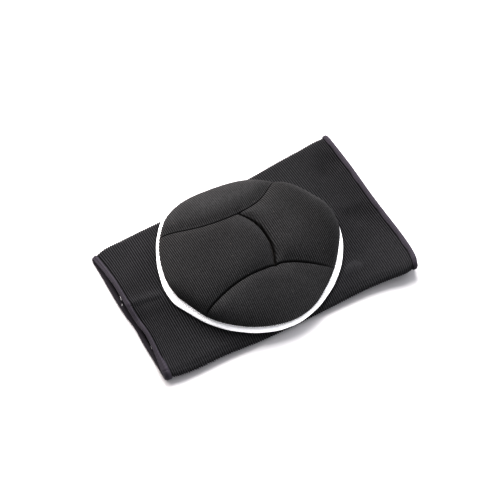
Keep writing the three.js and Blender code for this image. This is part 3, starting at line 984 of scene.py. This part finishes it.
@dataclass
class Binding:
    """Tape folded over one opening's edge: a plump outer leaf, a rounded nose and an inner leaf."""

    form: SleeveForm
    opening: Opening
    width: float
    plump: float
    ripple: float
    seam_inset: float = 1.0  # of the stitches from the tape's inner edge
    flare: float = 0.0  # how much wider the tape is at the front corner, where its ends overlap
    seam_depth: float = 0.22
    stitch_pitch: float = 2.4
    flare_from: float = 36.0  # distances in front of the middle between which the tape widens
    flare_to: float = 52.0
    nose: float = 1.3
    nose_round: float = 1.2
    counts: RingCounts = RingCounts(150, 260, 24)

    def __post_init__(self) -> None:
        """Finds the knit's edge in this opening."""
        self.edge = self.form.last if self.opening is Opening.THIGH else self.form.first

    def leaf(self, share: np.ndarray | float) -> np.ndarray:
        """Depth of the plump outer leaf, at a share of the way from its inner edge to the nose."""
        return -CLEARANCE - TAPE_LAYER - self.plump * np.sin(np.pi * share) ** 0.8

    def profile(self) -> np.ndarray:
        """Closed profile of the folded tape.

        Returns:
            Places along the sleeve from the knit edge outwards, and depths, a row each.
        """
        wall, far = self.form.wall, CLEARANCE + TAPE_LAYER
        tip = self.nose - self.nose_round
        outer = np.linspace(-self.width, tip, 13)
        outer = np.stack([outer, self.leaf((outer + self.width) / (self.width + self.nose))], axis=1)
        outer[0, 1] += 0.35  # the leaf's edge is pulled down to the knit
        turn = np.radians(np.linspace(-90, 90, 11)[1:-1])
        round_depth = wall / 2 + (wall / 2 + far) * np.sin(turn)
        round_depth -= self.plump * 0.5 * (0.5 - turn / np.pi) * np.cos(turn)
        round_nose = np.stack([tip + self.nose_round * np.cos(turn), round_depth], axis=1)
        back = np.stack([np.linspace(tip, -self.width, 8), np.full(8, wall + far)], axis=1)
        leaf = np.array([-self.width, -0.4, CLEARANCE])
        low = np.stack([leaf, np.full(3, wall + CLEARANCE)], axis=1)
        high = np.stack([leaf[::-1], np.full(3, -CLEARANCE)], axis=1)
        return np.vstack([outer, round_nose, back, low, [(CLEARANCE + 0.1, wall / 2)], high])

    def build(self) -> bpy.types.Object:
        """Makes the binding.

        Returns:
            The binding's object.
        """
        outward = self.opening.value
        profile = self.profile()
        along, depth = profile.T
        on_knit = np.minimum(along, 0)
        beyond = outward * (along - on_knit)
        points, normals = self.form.ring(self.edge + outward * on_knit, depth, self.counts, beyond)
        travel = travel_along(points)
        wave = np.sin(travel / 2.3) * 0.5 + np.sin(travel / 3.7 + 1.0) * 0.7 + np.sin(travel / 0.9) * 0.25
        hold = np.clip(-along / self.width, 0, 1)[:, None]
        points[..., 0] += outward * self.ripple * wave * hold
        wider = self.flare * hold * smooth_step(self.flare_from, self.flare_to, -points[..., 1])
        points[..., 0] -= outward * wider
        points[..., 2] += 0.1 * wider
        puff = np.where(depth < 0, 0.10, 0.0)[:, None] * np.sin(travel * 2 * np.pi / self.stitch_pitch)
        points += normals * (puff * hold * (1 - hold) * 4)[..., None]
        from_seam = along + self.width - self.seam_inset
        seam = np.where(depth < -CLEARANCE, np.exp(-((from_seam / 0.5) ** 2)), 0.0)[:, None]
        points -= normals * (self.seam_depth * seam)[..., None]
        points[..., 2] = np.maximum(points[..., 2], 0.02)
        # Painted shade: the inner leaf inside the mouth, the fold outside the stitches, which turns away from
        # the light, and the dip of the seam are darkened
        folded = 0.15 * smooth_step(0.0, 0.8, from_seam)
        lit = np.where(depth > self.form.wall / 2, 0.15, 0.8 - folded)[:, None] - 0.6 * seam
        weave = np.stack(np.broadcast_arrays(travel_along(profile)[:, None], travel, lit), axis=-1)
        name = self.opening.name.lower()
        quads = grid_quads(*points.shape[:2], rows_closed=True, columns_closed=True)
        made = make_object(f"{name}_binding_tape", points, quads, BINDING_TAPE.material(), weave)
        return settle(made, "binding_tape", f"binding_{name}")

    def sew(self) -> bpy.types.Object:
        """Makes the stitches that hold the binding, a row just inside its edge.

        Returns:
            The stitches' object.
        """
        place = self.edge - self.opening.value * (self.width - self.seam_inset)
        depth = self.leaf(self.seam_inset / (self.width + self.nose)) + self.seam_depth
        path, normals = self.form.ring(np.array([place]), depth, self.counts)
        name = f"{self.opening.name.lower()}_binding_stitches"
        row = StitchRow(name, DARK_THREAD, self.stitch_pitch, length=1.8, radius=0.17)
        return row.build(path[0], normals[0], "binding_tape")


@dataclass
class ThreadEnds:
    """Cut ends of pale sewing thread that hang out of the calf binding, each from its root to its tip."""

    # Radius of each, and the points it hangs through
    ends: tuple[tuple[float, list[tuple[float, float, float]]], ...] = (
        (0.48, [(-105.8, 23.0, 10.0), (-107.6, 22.2, 7.4), (-108.3, 20.8, 6.1), (-108.9, 17.6, 5.4)]),
        (0.28, [(-108.8, 15.8, 3.2), (-109.6, 15.2, 4.2), (-110.3, 14.3, 4.3), (-110.9, 13.1, 3.8)]),
        (0.1, [(-105.2, -27.2, 9.2), (-106.6, -28.2, 7.9), (-107.4, -29.8, 7.1), (-107.7, -32.4, 6.5)]),
    )
    steps: int = 12

    def build(self) -> bpy.types.Object:
        """Makes the thread ends.

        Returns:
            One object with every end.
        """
        tubes = []
        for radius, through in self.ends:
            known = np.arange(len(through))
            places = np.linspace(0, known[-1], self.steps + 1)
            spine = np.column_stack([np.interp(places, known, axis) for axis in zip(*through)])
            spine[1:-1] = (spine[:-2] + 2 * spine[1:-1] + spine[2:]) / 4
            out = np.broadcast_to([0.3, 0.0, 0.95], spine.shape)
            tubes.append(thread_tube(spine, out, np.full(len(spine), radius)))
        return thread_piece("calf_thread_ends", tubes, WHITE_THREAD, "binding_tape")


@dataclass
class EdgeTape:
    """White tape folded round the pad's flange, ribbed across and sewn along its middle."""

    form: SleeveForm
    outline: PadOutline
    width: float = 6.0
    rib_pitch: float = 0.95
    rib_depth: float = 0.12
    rib_power: float = 0.8
    rib_row: int = 12  # of the profile, along which the ribs are counted: just inside the fold
    steps: int = 1920
    fold: float = 1.6  # reach of the rounded fold
    tuck: float = 0.9  # by which its lower half is drawn in
    bow: float = 0.16  # of the upper layer between its edges
    seam_inset: float = 3.3
    seam_dip: float = 0.25

    def heights(self) -> tuple[float, float, float, float]:
        """Heights of the two layers over the sleeve.

        Returns:
            Under the lower layer, on it, under the upper layer, on it.
        """
        lower_top = CLEARANCE + TAPE_LAYER
        upper = lower_top + 2 * CLEARANCE + FLANGE
        return CLEARANCE, lower_top, upper, upper + TAPE_LAYER

    def profile(self) -> np.ndarray:
        """Closed profile of the folded tape.

        Returns:
            Insets from the outer edge, heights over the sleeve, and a 1 where the face shows, a row each.
        """
        low, low_top, up, top = self.heights()
        middle, half = (low + top) / 2, (top - low) / 2
        rows = [(inset, low, 0) for inset in (self.width, 4.0, self.fold)]
        for turn in np.radians(np.linspace(-80, 80, 9)):
            drawn_in = self.tuck * max(0.0, -math.sin(turn))
            reach = self.fold - self.fold * math.cos(turn) + drawn_in
            rows.append((reach, middle + half * math.sin(turn), 1))
        for inset in (1.9, 2.4, 2.8, 3.3, 3.8, 4.2, 4.8, 5.4, 6.0):
            dip = self.seam_dip * math.exp(-(((inset - self.seam_inset) / 0.45) ** 2))
            rows.append((inset, top + self.bow * math.sin(math.pi * inset / 6.6) - dip, 1))
        rows += [(inset, up, 0) for inset in (self.width, 3.0, 1.5)]
        rows += [(1.1, middle, 0)]
        rows += [(inset, low_top, 0) for inset in (1.5, 3.0, self.width)]
        return np.array(rows)

    def build(self) -> bpy.types.Object:
        """Makes the tape.

        Returns:
            The tape's object.
        """
        profile = self.profile()
        inset, height, shown = (column[:, None] for column in profile.T)
        angle = np.linspace(0, 360, self.steps, endpoint=False)[None, :]
        turn = np.radians(angle)
        sway = 0.10 * np.sin(9 * turn + 0.4) + 0.07 * np.sin(23 * turn + 2.0)
        x, y = self.outline.inside(angle, inset + sway * shown * (inset < 5))
        travel = travel_along(np.stack([x, y], axis=-1))
        ribs = rib_height(travel[self.rib_row] / self.rib_pitch, self.rib_power)
        lifted = height - shown * self.rib_depth * (1 - ribs) * np.where(height > 2.0, 1.0, 0.3)
        points = self.form.over(x, y, lifted)
        across = travel_along(profile[:, :2])[:, None]
        # Painted shade in the tape's rib furrows: they take its shade colour
        weave = np.stack(np.broadcast_arrays(across, travel, 0.35 + 0.65 * ribs), axis=-1)
        shape = points.shape[:2]
        quads = grid_quads(*shape, rows_closed=True, columns_closed=True)
        made = make_object("white_edge_tape", points, quads, WHITE_TAPE.material(), weave)
        return settle(made, "white_tape", "edge_tape")

    def sew(self) -> bpy.types.Object:
        """Makes the stitches along the tape's middle.

        Returns:
            The stitches' object.
        """
        angle = np.linspace(0, 360, 720, endpoint=False)
        x, y = self.outline.inside(angle, self.seam_inset)
        path = self.form.over(x, y, self.heights()[3] - 0.12)
        normals = np.broadcast_to([0.0, 0.0, 1.0], path.shape)
        row = StitchRow("edge_tape_stitches", WHITE_THREAD, pitch=2.3, length=1.8, radius=0.2)
        return row.build(path, normals, "white_tape")


@dataclass
class CoverSwell:
    """The knit cover pushed out by its foam: a cloth simulation held at the grooves and the foot."""

    voxel: float = 3.5
    pressure: float = 4.0
    frames: int = 20
    cap: float = 1.5

    def run(self, is_held: Callable[[np.ndarray], np.ndarray]) -> tuple[np.ndarray, np.ndarray]:
        """Simulates the cover from the CAD pad's own form.

        Args:
            is_held: from points in millimetres to a truth value each, true where the cover is held.

        Returns:
            Start points of the simulated cover, and how far each moved, in millimetres.
        """
        form = put_object("cover_form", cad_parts["foam_pad"].data.copy())
        remesh = form.modifiers.new("even_mesh", "REMESH")
        remesh.mode = "VOXEL"
        remesh.voxel_size = self.voxel * MM
        even = self.applied(form)
        bpy.data.objects.remove(form)
        cover = put_object("cover_cloth", even)
        start = self.places(even)
        group = cover.vertex_groups.new(name="held")
        group.add(np.flatnonzero(is_held(start)).tolist(), 1.0, "REPLACE")
        cloth = cover.modifiers.new("cover", "CLOTH")
        cloth.settings.vertex_group_mass = "held"
        cloth.settings.use_pressure = True
        cloth.settings.uniform_pressure_force = self.pressure
        cloth.settings.effector_weights.gravity = 0
        cloth.point_cache.frame_start = 1
        cloth.point_cache.frame_end = self.frames
        for number in range(1, self.frames + 1):
            bpy.context.scene.frame_set(number)
        swollen = self.applied(cover)
        moved = self.places(swollen) - start
        bpy.data.objects.remove(cover)
        bpy.data.meshes.remove(swollen)
        bpy.data.meshes.remove(even)
        bpy.context.scene.frame_set(1)
        length = np.linalg.norm(moved, axis=1, keepdims=True)
        LOG.info("cover swell: most %.2f mm, middle %.2f mm", length.max(), float(np.median(length)))
        return start, moved * np.minimum(1, self.cap / np.maximum(length, 1e-9))

    @staticmethod
    def applied(piece: bpy.types.Object) -> bpy.types.Mesh:
        """The mesh of an object as its modifiers leave it."""
        return bpy.data.meshes.new_from_object(piece.evaluated_get(bpy.context.evaluated_depsgraph_get()))

    @staticmethod
    def places(mesh: bpy.types.Mesh) -> np.ndarray:
        """Reads the points of a mesh.

        Args:
            mesh: the mesh, in metres.

        Returns:
            Its points in millimetres, from the tables' own origin.
        """
        flat = np.zeros(len(mesh.vertices) * 3, dtype=np.float32)
        mesh.vertices.foreach_get("co", flat)
        return flat.reshape(-1, 3).astype(float) / MM - CENTRING


@dataclass
class QuiltedPad:
    """Domed foam pad in a ribbed cover, pressed into four panels by three grooves."""

    form: SleeveForm
    outline: PadOutline
    swell: CoverSwell
    foam_height: float = 22.4
    rim_height: float = 7.5
    foot_inset: float = 6.4
    flange_inset: float = 1.6
    seat_inset: float = 0.6  # of the seat on the sleeve from the foot
    groove_depth: float = 4.2
    groove_spread: float = 5.0
    behind_spread: float = 11.0  # of the back groove on the back panel's side, which rolls over into it
    behind_round: float = 1.4
    groove_press: tuple[float, float, float] = (1.2, 0.9, 1.4)  # of the back, front and cross grooves
    groove_line: tuple[float, float, float] = (0.65, 0.9, 1.3)
    slit_depth: float = 2.4
    slit_spread: float = 0.6
    rib_pitch: float = 1.62
    rib_depth: float = 0.9
    rib_power: float = 1.2
    panel_power_and_light: tuple[float, float, float, float] = (0.75, 1.25, 0.95, 0.5)  # front, left, right, back; they shape the ribs and paint light and shade into the colour, panel by panel
    side_shade: float = 0.8  # painted shade on the pad's steep side, where the cover's colour is darkened
    samples: int = 6  # columns of points to a rib
    panel_rows: tuple[int, int, int] = (33, 44, 33)
    cross_place: float = 5.0  # of the columns that are drawn over to follow the cross groove
    cross_draw: float = 32.0  # how far from there columns are drawn over, and past the groove's ends
    cross_past: float = 26.0
    held_side: float = 2.5  # height over the rim up to which the simulated cover is held
    held_groove: float = 2.2  # distance from a groove within which it is held

    def __post_init__(self) -> None:
        """Lays out the grooves and the rim in plan."""
        front_left, front_right, back_left, back_right = map(self.rim_at, (210.7, 314.6, 144.5, 43.6))
        front_join, back_join = (4.6, -26.0), (1.6, 27.8)  # where the cross groove meets the long ones
        self.back = curve_through([back_left, (-30, 31.6), back_join, (22, 30.6), back_right], 800)
        self.front = curve_through(
            [front_left, (-28, -26.3), front_join, (15.5, -28.8), (28, -35.4), front_right], 800
        )
        self.cross = curve_through([front_join, (9.3, -14), (10.9, 0.5), (8.8, 13.6), back_join], 400)
        self.trees = [self.tree_of(groove) for groove in (self.back, self.front, self.cross)]
        self.rim = np.stack(self.outline.rim(np.linspace(0, 360, 7200, endpoint=False)), axis=1)

    def rim_at(self, angle: float) -> tuple[float, float]:
        """Plan point on the dome's widest line."""
        x, y = self.outline.rim(np.array(angle))
        return float(x), float(y)

    @staticmethod
    def tree_of(points: np.ndarray) -> KDTree:
        """Makes a search tree.

        Args:
            points: places in plan or in space.

        Returns:
            The tree.
        """
        tree = KDTree(len(points))
        for number, place in enumerate(points.tolist()):
            tree.insert((*place, 0.0)[:3], number)
        tree.balance()
        return tree

    def groove_distances(self, x: np.ndarray, y: np.ndarray) -> np.ndarray:
        """Distances in plan from the grooves.

        Args:
            x: points' x.
            y: points' y.

        Returns:
            Distances from the back, front and cross grooves, stacked in that order.
        """
        places = list(zip(x.ravel().tolist(), y.ravel().tolist()))
        flat = [[tree.find((px, py, 0))[2] for px, py in places] for tree in self.trees]
        return np.array(flat).reshape(len(self.trees), *x.shape)

    def dome(self, x: np.ndarray, y: np.ndarray) -> np.ndarray:
        """Share of the foam's full height at plan points, 0 on the dome's widest line."""
        found = self.outline.table.at(self.outline.angle(x, y))
        return np.maximum(0, 1 - self.outline.share(x, y) ** found["shoulder"]) ** found["edge"]

    def dome_height(self, x: np.ndarray, y: np.ndarray) -> np.ndarray:
        """Height of the dome over the floor before the grooves are pressed in."""
        foam = self.rim_height + (self.foam_height - self.rim_height) * self.dome(x, y)
        return self.form.upper(x, y) + foam

    def rim_across(self, x: np.ndarray) -> tuple[np.ndarray, np.ndarray]:
        """Where the rim lies across the pad at places along it.

        Args:
            x: places along the pad.

        Returns:
            y of the front rim and of the back rim.
        """
        first, last = int(np.argmin(self.rim[:, 0])), int(np.argmax(self.rim[:, 0]))
        turned = np.roll(self.rim, -last, axis=0)
        split = (first - last) % len(self.rim)
        back = turned[: split + 1][::-1]
        front = turned[split:]
        return np.interp(x, front[:, 0], front[:, 1]), np.interp(x, back[:, 0], back[:, 1])

    def column_places(self) -> np.ndarray:
        """Places of the columns, evenly spaced over the dome's own curve along its middle.

        Returns:
            x of every column.
        """
        x = np.linspace(self.rim[:, 0].min() + 0.04, self.rim[:, 0].max() - 0.04, 6000)
        z = self.dome_height(x, np.full_like(x, self.outline.centre[1]))
        travel = travel_along(np.stack([x, z], axis=-1))
        count = round(travel[-1] / self.rib_pitch) * self.samples + 1
        return np.interp(np.linspace(0, travel[-1], count), travel, x)

    def rows_at(self, x: np.ndarray) -> np.ndarray:
        """Places of the rows, which follow the rim and the long grooves.

        Args:
            x: place of every point, a row of the mesh each.

        Returns:
            y of every point.
        """
        front_rim, back_rim = self.rim_across(x)
        least = np.minimum(2.6, 0.13 * (back_rim - front_rim))
        front_line, back_line = (
            np.clip(
                np.interp(x, line[:, 0], line[:, 1], left=beyond, right=beyond),
                front_rim + least,
                back_rim - least,
            )
            for line, beyond in ((self.front, -999), (self.back, 999))
        )
        borders = [front_rim, front_line, back_line, back_rim]
        rows = []
        for panel, count in enumerate(self.panel_rows):
            even = np.arange(count) / count
            close = 0.5 - 0.5 * np.cos(np.pi * even)
            for share in 0.2 * even + 0.8 * close:
                rows.append((panel, share))
        rows.append((2, 1.0))
        y = np.empty_like(x)
        for number, (panel, share) in enumerate(rows):
            y[number] = borders[panel][number] * (1 - share) + borders[panel + 1][number] * share
        return y

    def plan(self) -> tuple[np.ndarray, np.ndarray]:
        """Plan of the padded top: rows run along X from the front rim to the back rim.

        Returns:
            x and y of every point. Columns near the cross groove are drawn over to follow it.
        """
        columns = self.column_places()
        x = np.repeat(columns[None, :], sum(self.panel_rows) + 1, axis=0)
        near = np.cos(np.clip((columns - self.cross_place) / self.cross_draw, -1, 1) * np.pi / 2) ** 2
        for _ in range(4):
            y = self.rows_at(x)
            draw = np.interp(y, self.cross[:, 1], self.cross[:, 0]) - self.cross_place
            past = np.maximum(0, np.maximum(y - self.cross[-1, 1], self.cross[0, 1] - y))
            x = columns[None, :] + draw * near * (1 - smooth_step(0, self.cross_past, past))
        for column, angles in ((0, (150, 210)), (-1, (-30, 30))):
            edge_x, edge_y = self.outline.rim(np.linspace(*angles, 2000))
            order = np.argsort(edge_y)
            x[:, column] = np.interp(y[:, column], edge_y[order], edge_x[order])
        return x, y

    def rib_phase(self, x: np.ndarray, y: np.ndarray) -> np.ndarray:
        """Counts ribs: the cover lies half by the plan and half by the dome's own curve.

        Args:
            x: points' x.
            y: points' y.

        Returns:
            Ribs from the pad's middle, with parts of a rib.
        """
        across = np.linspace(self.rim[:, 1].min(), self.rim[:, 1].max(), 160)
        along = np.linspace(self.rim[:, 0].min(), self.rim[:, 0].max(), 1800)
        gx, gy = np.meshgrid(along, across)
        rise = np.diff(self.dome_height(gx, gy), axis=1)
        steps = np.hypot(np.diff(along)[None, :], rise)
        travel = np.hstack([np.zeros((len(across), 1)), np.cumsum(steps, axis=1)])
        middle = int(np.argmin(np.abs(along)))
        travel = 0.5 * (travel - travel[:, middle : middle + 1]) + 0.5 * gx
        at_x = np.clip((x - along[0]) / (along[1] - along[0]), 0, len(along) - 1.001)
        at_y = np.clip((y - across[0]) / (across[1] - across[0]), 0, len(across) - 1.001)
        ix, iy = at_x.astype(int), at_y.astype(int)
        fx, fy = at_x - ix, at_y - iy
        low = travel[iy, ix] * (1 - fx) + travel[iy, ix + 1] * fx
        high = travel[iy + 1, ix] * (1 - fx) + travel[iy + 1, ix + 1] * fx
        return (low * (1 - fy) + high * fy) / self.rib_pitch

    def held(self, points: np.ndarray) -> np.ndarray:
        """Finds where the cover is held: in the grooves, on the lower side and underneath.

        Args:
            points: places, a row each.

        Returns:
            True for each that is held.
        """
        over = points[:, 2] - self.form.upper(points[:, 0], points[:, 1])
        apart = self.groove_distances(points[:, 0], points[:, 1]).min(axis=0)
        return (over < self.rim_height + self.held_side) | (apart < self.held_groove)

    def swelling(self, x: np.ndarray, y: np.ndarray, z: np.ndarray, apart: np.ndarray) -> np.ndarray:
        """How the simulated cover moves the top's points.

        Args:
            x: points' x.
            y: points' y.
            z: points' height.
            apart: their distance from the nearest groove.

        Returns:
            Movement of every point, zero where the simulation is skipped.
        """
        start, moved = self.swell.run(self.held)
        tree = self.tree_of(start)
        found = []
        for place in zip(x.ravel().tolist(), y.ravel().tolist(), z.ravel().tolist()):
            close = tree.find_n(place, 6)
            weights = np.array([1 / (distance + 0.4) ** 2 for _, _, distance in close])
            found.append(weights @ moved[[number for _, number, _ in close]] / weights.sum())
        fade = 1 - np.exp(-((apart / 3.0) ** 2))
        return np.array(found).reshape(*x.shape, 3) * fade[..., None]

    def power_at(self, x: np.ndarray, y: np.ndarray, behind: np.ndarray) -> np.ndarray:
        """Sharpness of the ribs, which also paints light and shade into the cover: each panel lighter or
        darker, with painted shade towards the right rim and along the back groove.

        Args:
            x: x of every point, a row of the mesh each.
            y: y of every point.
            behind: distance of every point from the back groove.

        Returns:
            The power that shapes the ribs and sets their painted light and shade at every point.
        """
        front, left, right, back = self.panel_power_and_light
        panel = np.repeat([0, 1, 2, 2], [*self.panel_rows, 1])[:, None]
        beyond = right + 1.2 * smooth_step(30, 66, x)  # sharper ribs and painted shade towards the right panel's rim
        middle = np.where(x > np.interp(y, self.cross[:, 1], self.cross[:, 0]), beyond, left)
        back_groove_shade = back + np.exp(-((behind / 8.0) ** 2))  # sharper ribs and painted shade on the back panel along its groove
        return np.where(panel == 0, front, np.where(panel == 2, back_groove_shade, middle))

    def top(self) -> tuple[np.ndarray, np.ndarray]:
        """Padded top with its grooves, swell and ribs.

        Returns:
            The grid of points, and the weave numbers of each.
        """
        x, y = self.plan()
        dome = self.dome(x, y)
        each = self.groove_distances(x, y)
        apart = each.min(axis=0)
        spread, fall = np.full_like(each, self.groove_spread), np.ones_like(each)
        back_rows = slice(sum(self.panel_rows[:2]), None)
        spread[0, back_rows], fall[0, back_rows] = self.behind_spread, self.behind_round
        pressing, strength = (
            np.array(share)[:, None, None] * np.ones_like(each)
            for share in (self.groove_press, self.groove_line)
        )
        soft_end = smooth_step(2, 36, x)  # towards the right the back groove is a wider, softer dip
        pressing[0] *= 1 + 0.3 * soft_end
        strength[0] *= 1 - 0.4 * soft_end
        strength[2] *= 1 - 0.5 * smooth_step(6, 24, y)  # and the cross groove ends softly at its back
        pressed = np.sum((pressing * np.exp(-((each / spread) ** fall))) ** 4, axis=0) ** 0.25
        press = self.groove_depth * pressed * (0.25 + 0.75 * dome)
        cut = np.max(strength * np.exp(-((each / (self.slit_spread * strength)) ** 2)), axis=0)
        slit = self.slit_depth * cut * np.sqrt(dome)
        z = self.dome_height(x, y) - press
        points = np.stack([x, y, z], axis=-1) + self.swelling(x, y, z, apart)
        phase = self.rib_phase(x, y)
        ribs = rib_height(phase, self.power_at(x, y, each[0]))
        normals = grid_normals(points)
        points -= normals * (self.rib_depth * (1 - ribs) * smooth_step(0.0, 2.5, apart))[..., None]
        points[..., 2] -= slit
        # Painted shade darkens the colour along the groove lines, beside the slit cut in the mesh
        sewn = np.max(np.exp(-((each / (0.9 * strength)) ** 2)), axis=0) * smooth_step(0.0, 0.7, dome)
        shade = ribs * (1 - 0.9 * sewn)
        # Painted shade on the steep side
        shade *= self.side_shade + (1 - self.side_shade) * smooth_step(0.12, 0.5, normals[..., 2])
        return points, np.stack([phase, y, shade], axis=-1)

    def build(self) -> bpy.types.Object:
        """Makes the pad: the top, the undercut side, the flange in the tape and the seat on the sleeve.

        Returns:
            The pad's object.
        """
        top, weave = self.top()
        rows, columns = top.shape[:2]
        numbers = np.arange(rows * columns).reshape(rows, columns)
        right, left = numbers[1:-1, -1], numbers[1:-1, 0]
        border = np.concatenate([numbers[0], right, numbers[-1][::-1], left[::-1]])
        flat, flat_weave = top.reshape(-1, 3), weave.reshape(-1, 3)
        edge = flat[border]
        angle = self.outline.angle(edge[:, 0], edge[:, 1])
        dome_inset = self.outline.table.at(angle)["dome_inset"]
        steep = np.cos(np.radians(angle))
        low = 2 * CLEARANCE + TAPE_LAYER
        top_of_flange = low + FLANGE
        rings, ring_weave = [], []
        # The side turns in from the rim to the foot: share of the way in, and height over the sleeve
        for turn, height in ((0.02, 6.9), (0.06, 6.3), (0.14, 5.6), (0.26, 4.9), (0.42, 4.4), (1.0, 4.2)):
            inset = dome_inset + (self.foot_inset - dome_inset) * turn
            phase = flat_weave[border, 0] + steep * (self.rim_height - height) * 0.6 / self.rib_pitch
            ribs = rib_height(phase, self.rib_power)
            x, y = self.outline.inside(angle, inset + self.rib_depth * (1 - ribs) * (1 - turn))
            rings.append(self.form.over(x, y, height))
            # Painted shade on the undercut side
            ring_weave.append(np.stack([phase, y, ribs * self.side_shade], axis=1))
        foot, rim = self.foot_inset, self.flange_inset
        hidden = [(foot, top_of_flange), (rim, top_of_flange), (rim, low), (foot, low)]
        for inset, height in [*hidden, (foot + self.seat_inset, CLEARANCE)]:
            rings.append(self.form.over(*self.outline.inside(angle, inset), height))
        centre = np.array(self.outline.centre)[:, None]
        seat = np.stack(self.outline.inside(angle, foot + self.seat_inset)) - centre
        for share in (0.85, 0.6, 0.35, 0.15):
            rings.append(self.form.over(*(centre + seat * share), CLEARANCE))
        middle = self.form.over(*centre, CLEARANCE)
        loop = len(border)
        plain = np.zeros((len(rings) * loop + 1 - len(ring_weave) * loop, 3))
        points = np.vstack([flat, *rings, middle])
        index = np.vstack([border, len(flat) + np.arange(len(rings) * loop).reshape(-1, loop)])
        side = grid_quads(len(index), loop, columns_closed=True)
        last, tip = index[-1], np.full(loop, len(points) - 1)
        fan = np.stack([np.roll(last, -1), last, tip, tip], axis=1)
        faces = np.vstack([grid_quads(rows, columns)[:, ::-1], index.ravel()[side][:, ::-1], fan])
        weave = np.vstack([flat_weave, *ring_weave, plain])
        made = make_object("quilted_pad", points, faces, PAD_KNIT.material(), weave)
        return settle(made, "pad_cover", "foam_pad")


@dataclass
class Studio:
    """White sweep, two soft lights from behind and the camera that looks down on the pad's front."""

    azimuth: float = -29.48
    elevation: float = 61.23
    distance: float = 1000.0
    aim: tuple[float, float, float] = (0.92, 2.55, 0.0)
    focal_pixels: float = 1246.14
    image: float = 500.0
    sensor: float = 36.0
    half_floor: float = 4000.0  # half the sweep's side
    principal: tuple[float, float] = (253.01, 259.72)
    sky: float = 2.0
    dim_side: tuple[float, float, float] = (-0.94, -0.34, 0.1)  # where the room gives little light
    # Lights: name, place and side in metres, watts, colour
    lamps: tuple[tuple[str, tuple[float, float, float], float, float, str], ...] = (
        ("window_softbox", (0.42, 1.19, 2.00), 1.1, 98.0, "FFFCFA"),
        ("rim_softbox", (-0.90, 1.75, 0.96), 1.0, 52.0, "FFF6F0"),
    )
    contrast: float = 0.75

    def back(self) -> Vector:
        """Direction from the pad to the camera."""
        a, e = math.radians(self.azimuth), math.radians(self.elevation)
        return Vector((math.sin(a) * math.cos(e), -math.cos(a) * math.cos(e), math.sin(e)))

    def camera(self) -> bpy.types.Object:
        """Sets up the camera.

        Returns:
            The camera's object.
        """
        data = bpy.data.cameras.new("photo_camera")
        data.sensor_width = self.sensor
        data.lens = self.sensor * self.focal_pixels / self.image
        data.shift_x = (self.image / 2 - self.principal[0]) / self.image
        data.shift_y = (self.principal[1] - self.image / 2) / self.image
        made = put_object("photo_camera", data)
        made.location = (Vector(self.aim) + self.back() * self.distance) * MM
        made.rotation_euler = (-self.back()).to_track_quat("-Z", "Y").to_euler()
        bpy.context.scene.camera = made
        return made

    def floor(self) -> bpy.types.Object:
        """Lays the white sweep.

        Returns:
            The floor's object.
        """
        corners = self.half_floor * np.array([(-1, -1, 0), (1, -1, 0), (1, 1, 0), (-1, 1, 0)])
        made = make_object("paper_floor", corners, np.array([[0, 1, 2, 3]]), PAPER.material())
        return made

    def lamp(
        self, name: str, place: tuple[float, float, float], size: float, power: float, colour: str
    ) -> None:
        """Hangs a square soft light that looks at the pad.

        Args:
            name: the light's name.
            place: where it hangs, in metres.
            size: side of its square, in metres.
            power: watts.
            colour: its colour.
        """
        data = bpy.data.lights.new(name, "AREA")
        data.size = size
        data.energy = power
        data.color = hex_to_linear(colour)[:3]
        made = put_object(name, data)
        made.location = place
        made.rotation_euler = (-Vector(place)).to_track_quat("-Z", "Y").to_euler()

    def build(self) -> None:
        """Sets up the camera, the sweep and the lights."""
        self.camera()
        self.floor()
        world = bpy.data.worlds.new("white_room")
        world.use_nodes = True
        tree = world.node_tree
        tree.nodes.clear()
        place = add_node(tree, "TexCoord").outputs["Generated"]
        towards = {"operation": "DOT_PRODUCT", 1: self.dim_side}
        side = add_node(tree, "VectorMath", towards, {0: place}).outputs["Value"]
        fall = {"interpolation_type": "SMOOTHSTEP", 1: -0.2, 2: 0.75, 3: self.sky, 4: self.sky * 0.1}
        strength = add_node(tree, "MapRange", fall, {0: side})
        sky = add_node(tree, "Background", {"Color": hex_to_linear("F8F8FC")}, {"Strength": strength})
        add_node(tree, "OutputWorld", links={"Surface": sky})
        bpy.context.scene.world = world
        for lamp in self.lamps:
            self.lamp(*lamp)
        bpy.context.scene.view_settings.view_transform = "Standard"
        bpy.context.scene.view_settings.gamma = self.contrast


def main() -> None:
    """Builds the pad piece by piece."""
    logging.basicConfig(level=logging.INFO, format="%(message)s")
    Studio().build()
    outline = PadOutline()
    form = SleeveForm(outline)
    calf = Binding(form, Opening.CALF, width=2.4, plump=0.6, ripple=0.12, seam_inset=1.9, flare=2.0)
    thigh = Binding(form, Opening.THIGH, width=3.4, plump=0.5, ripple=0.35)
    tape = EdgeTape(form, outline)
    made = [
        KnitSleeve(form).build(),
        calf.build(),
        calf.sew(),
        ThreadEnds().build(),
        thigh.build(),
        thigh.sew(),
        tape.build(),
        tape.sew(),
        QuiltedPad(form, outline, CoverSwell()).build(),
    ]


if __name__ == "__main__":
    main()
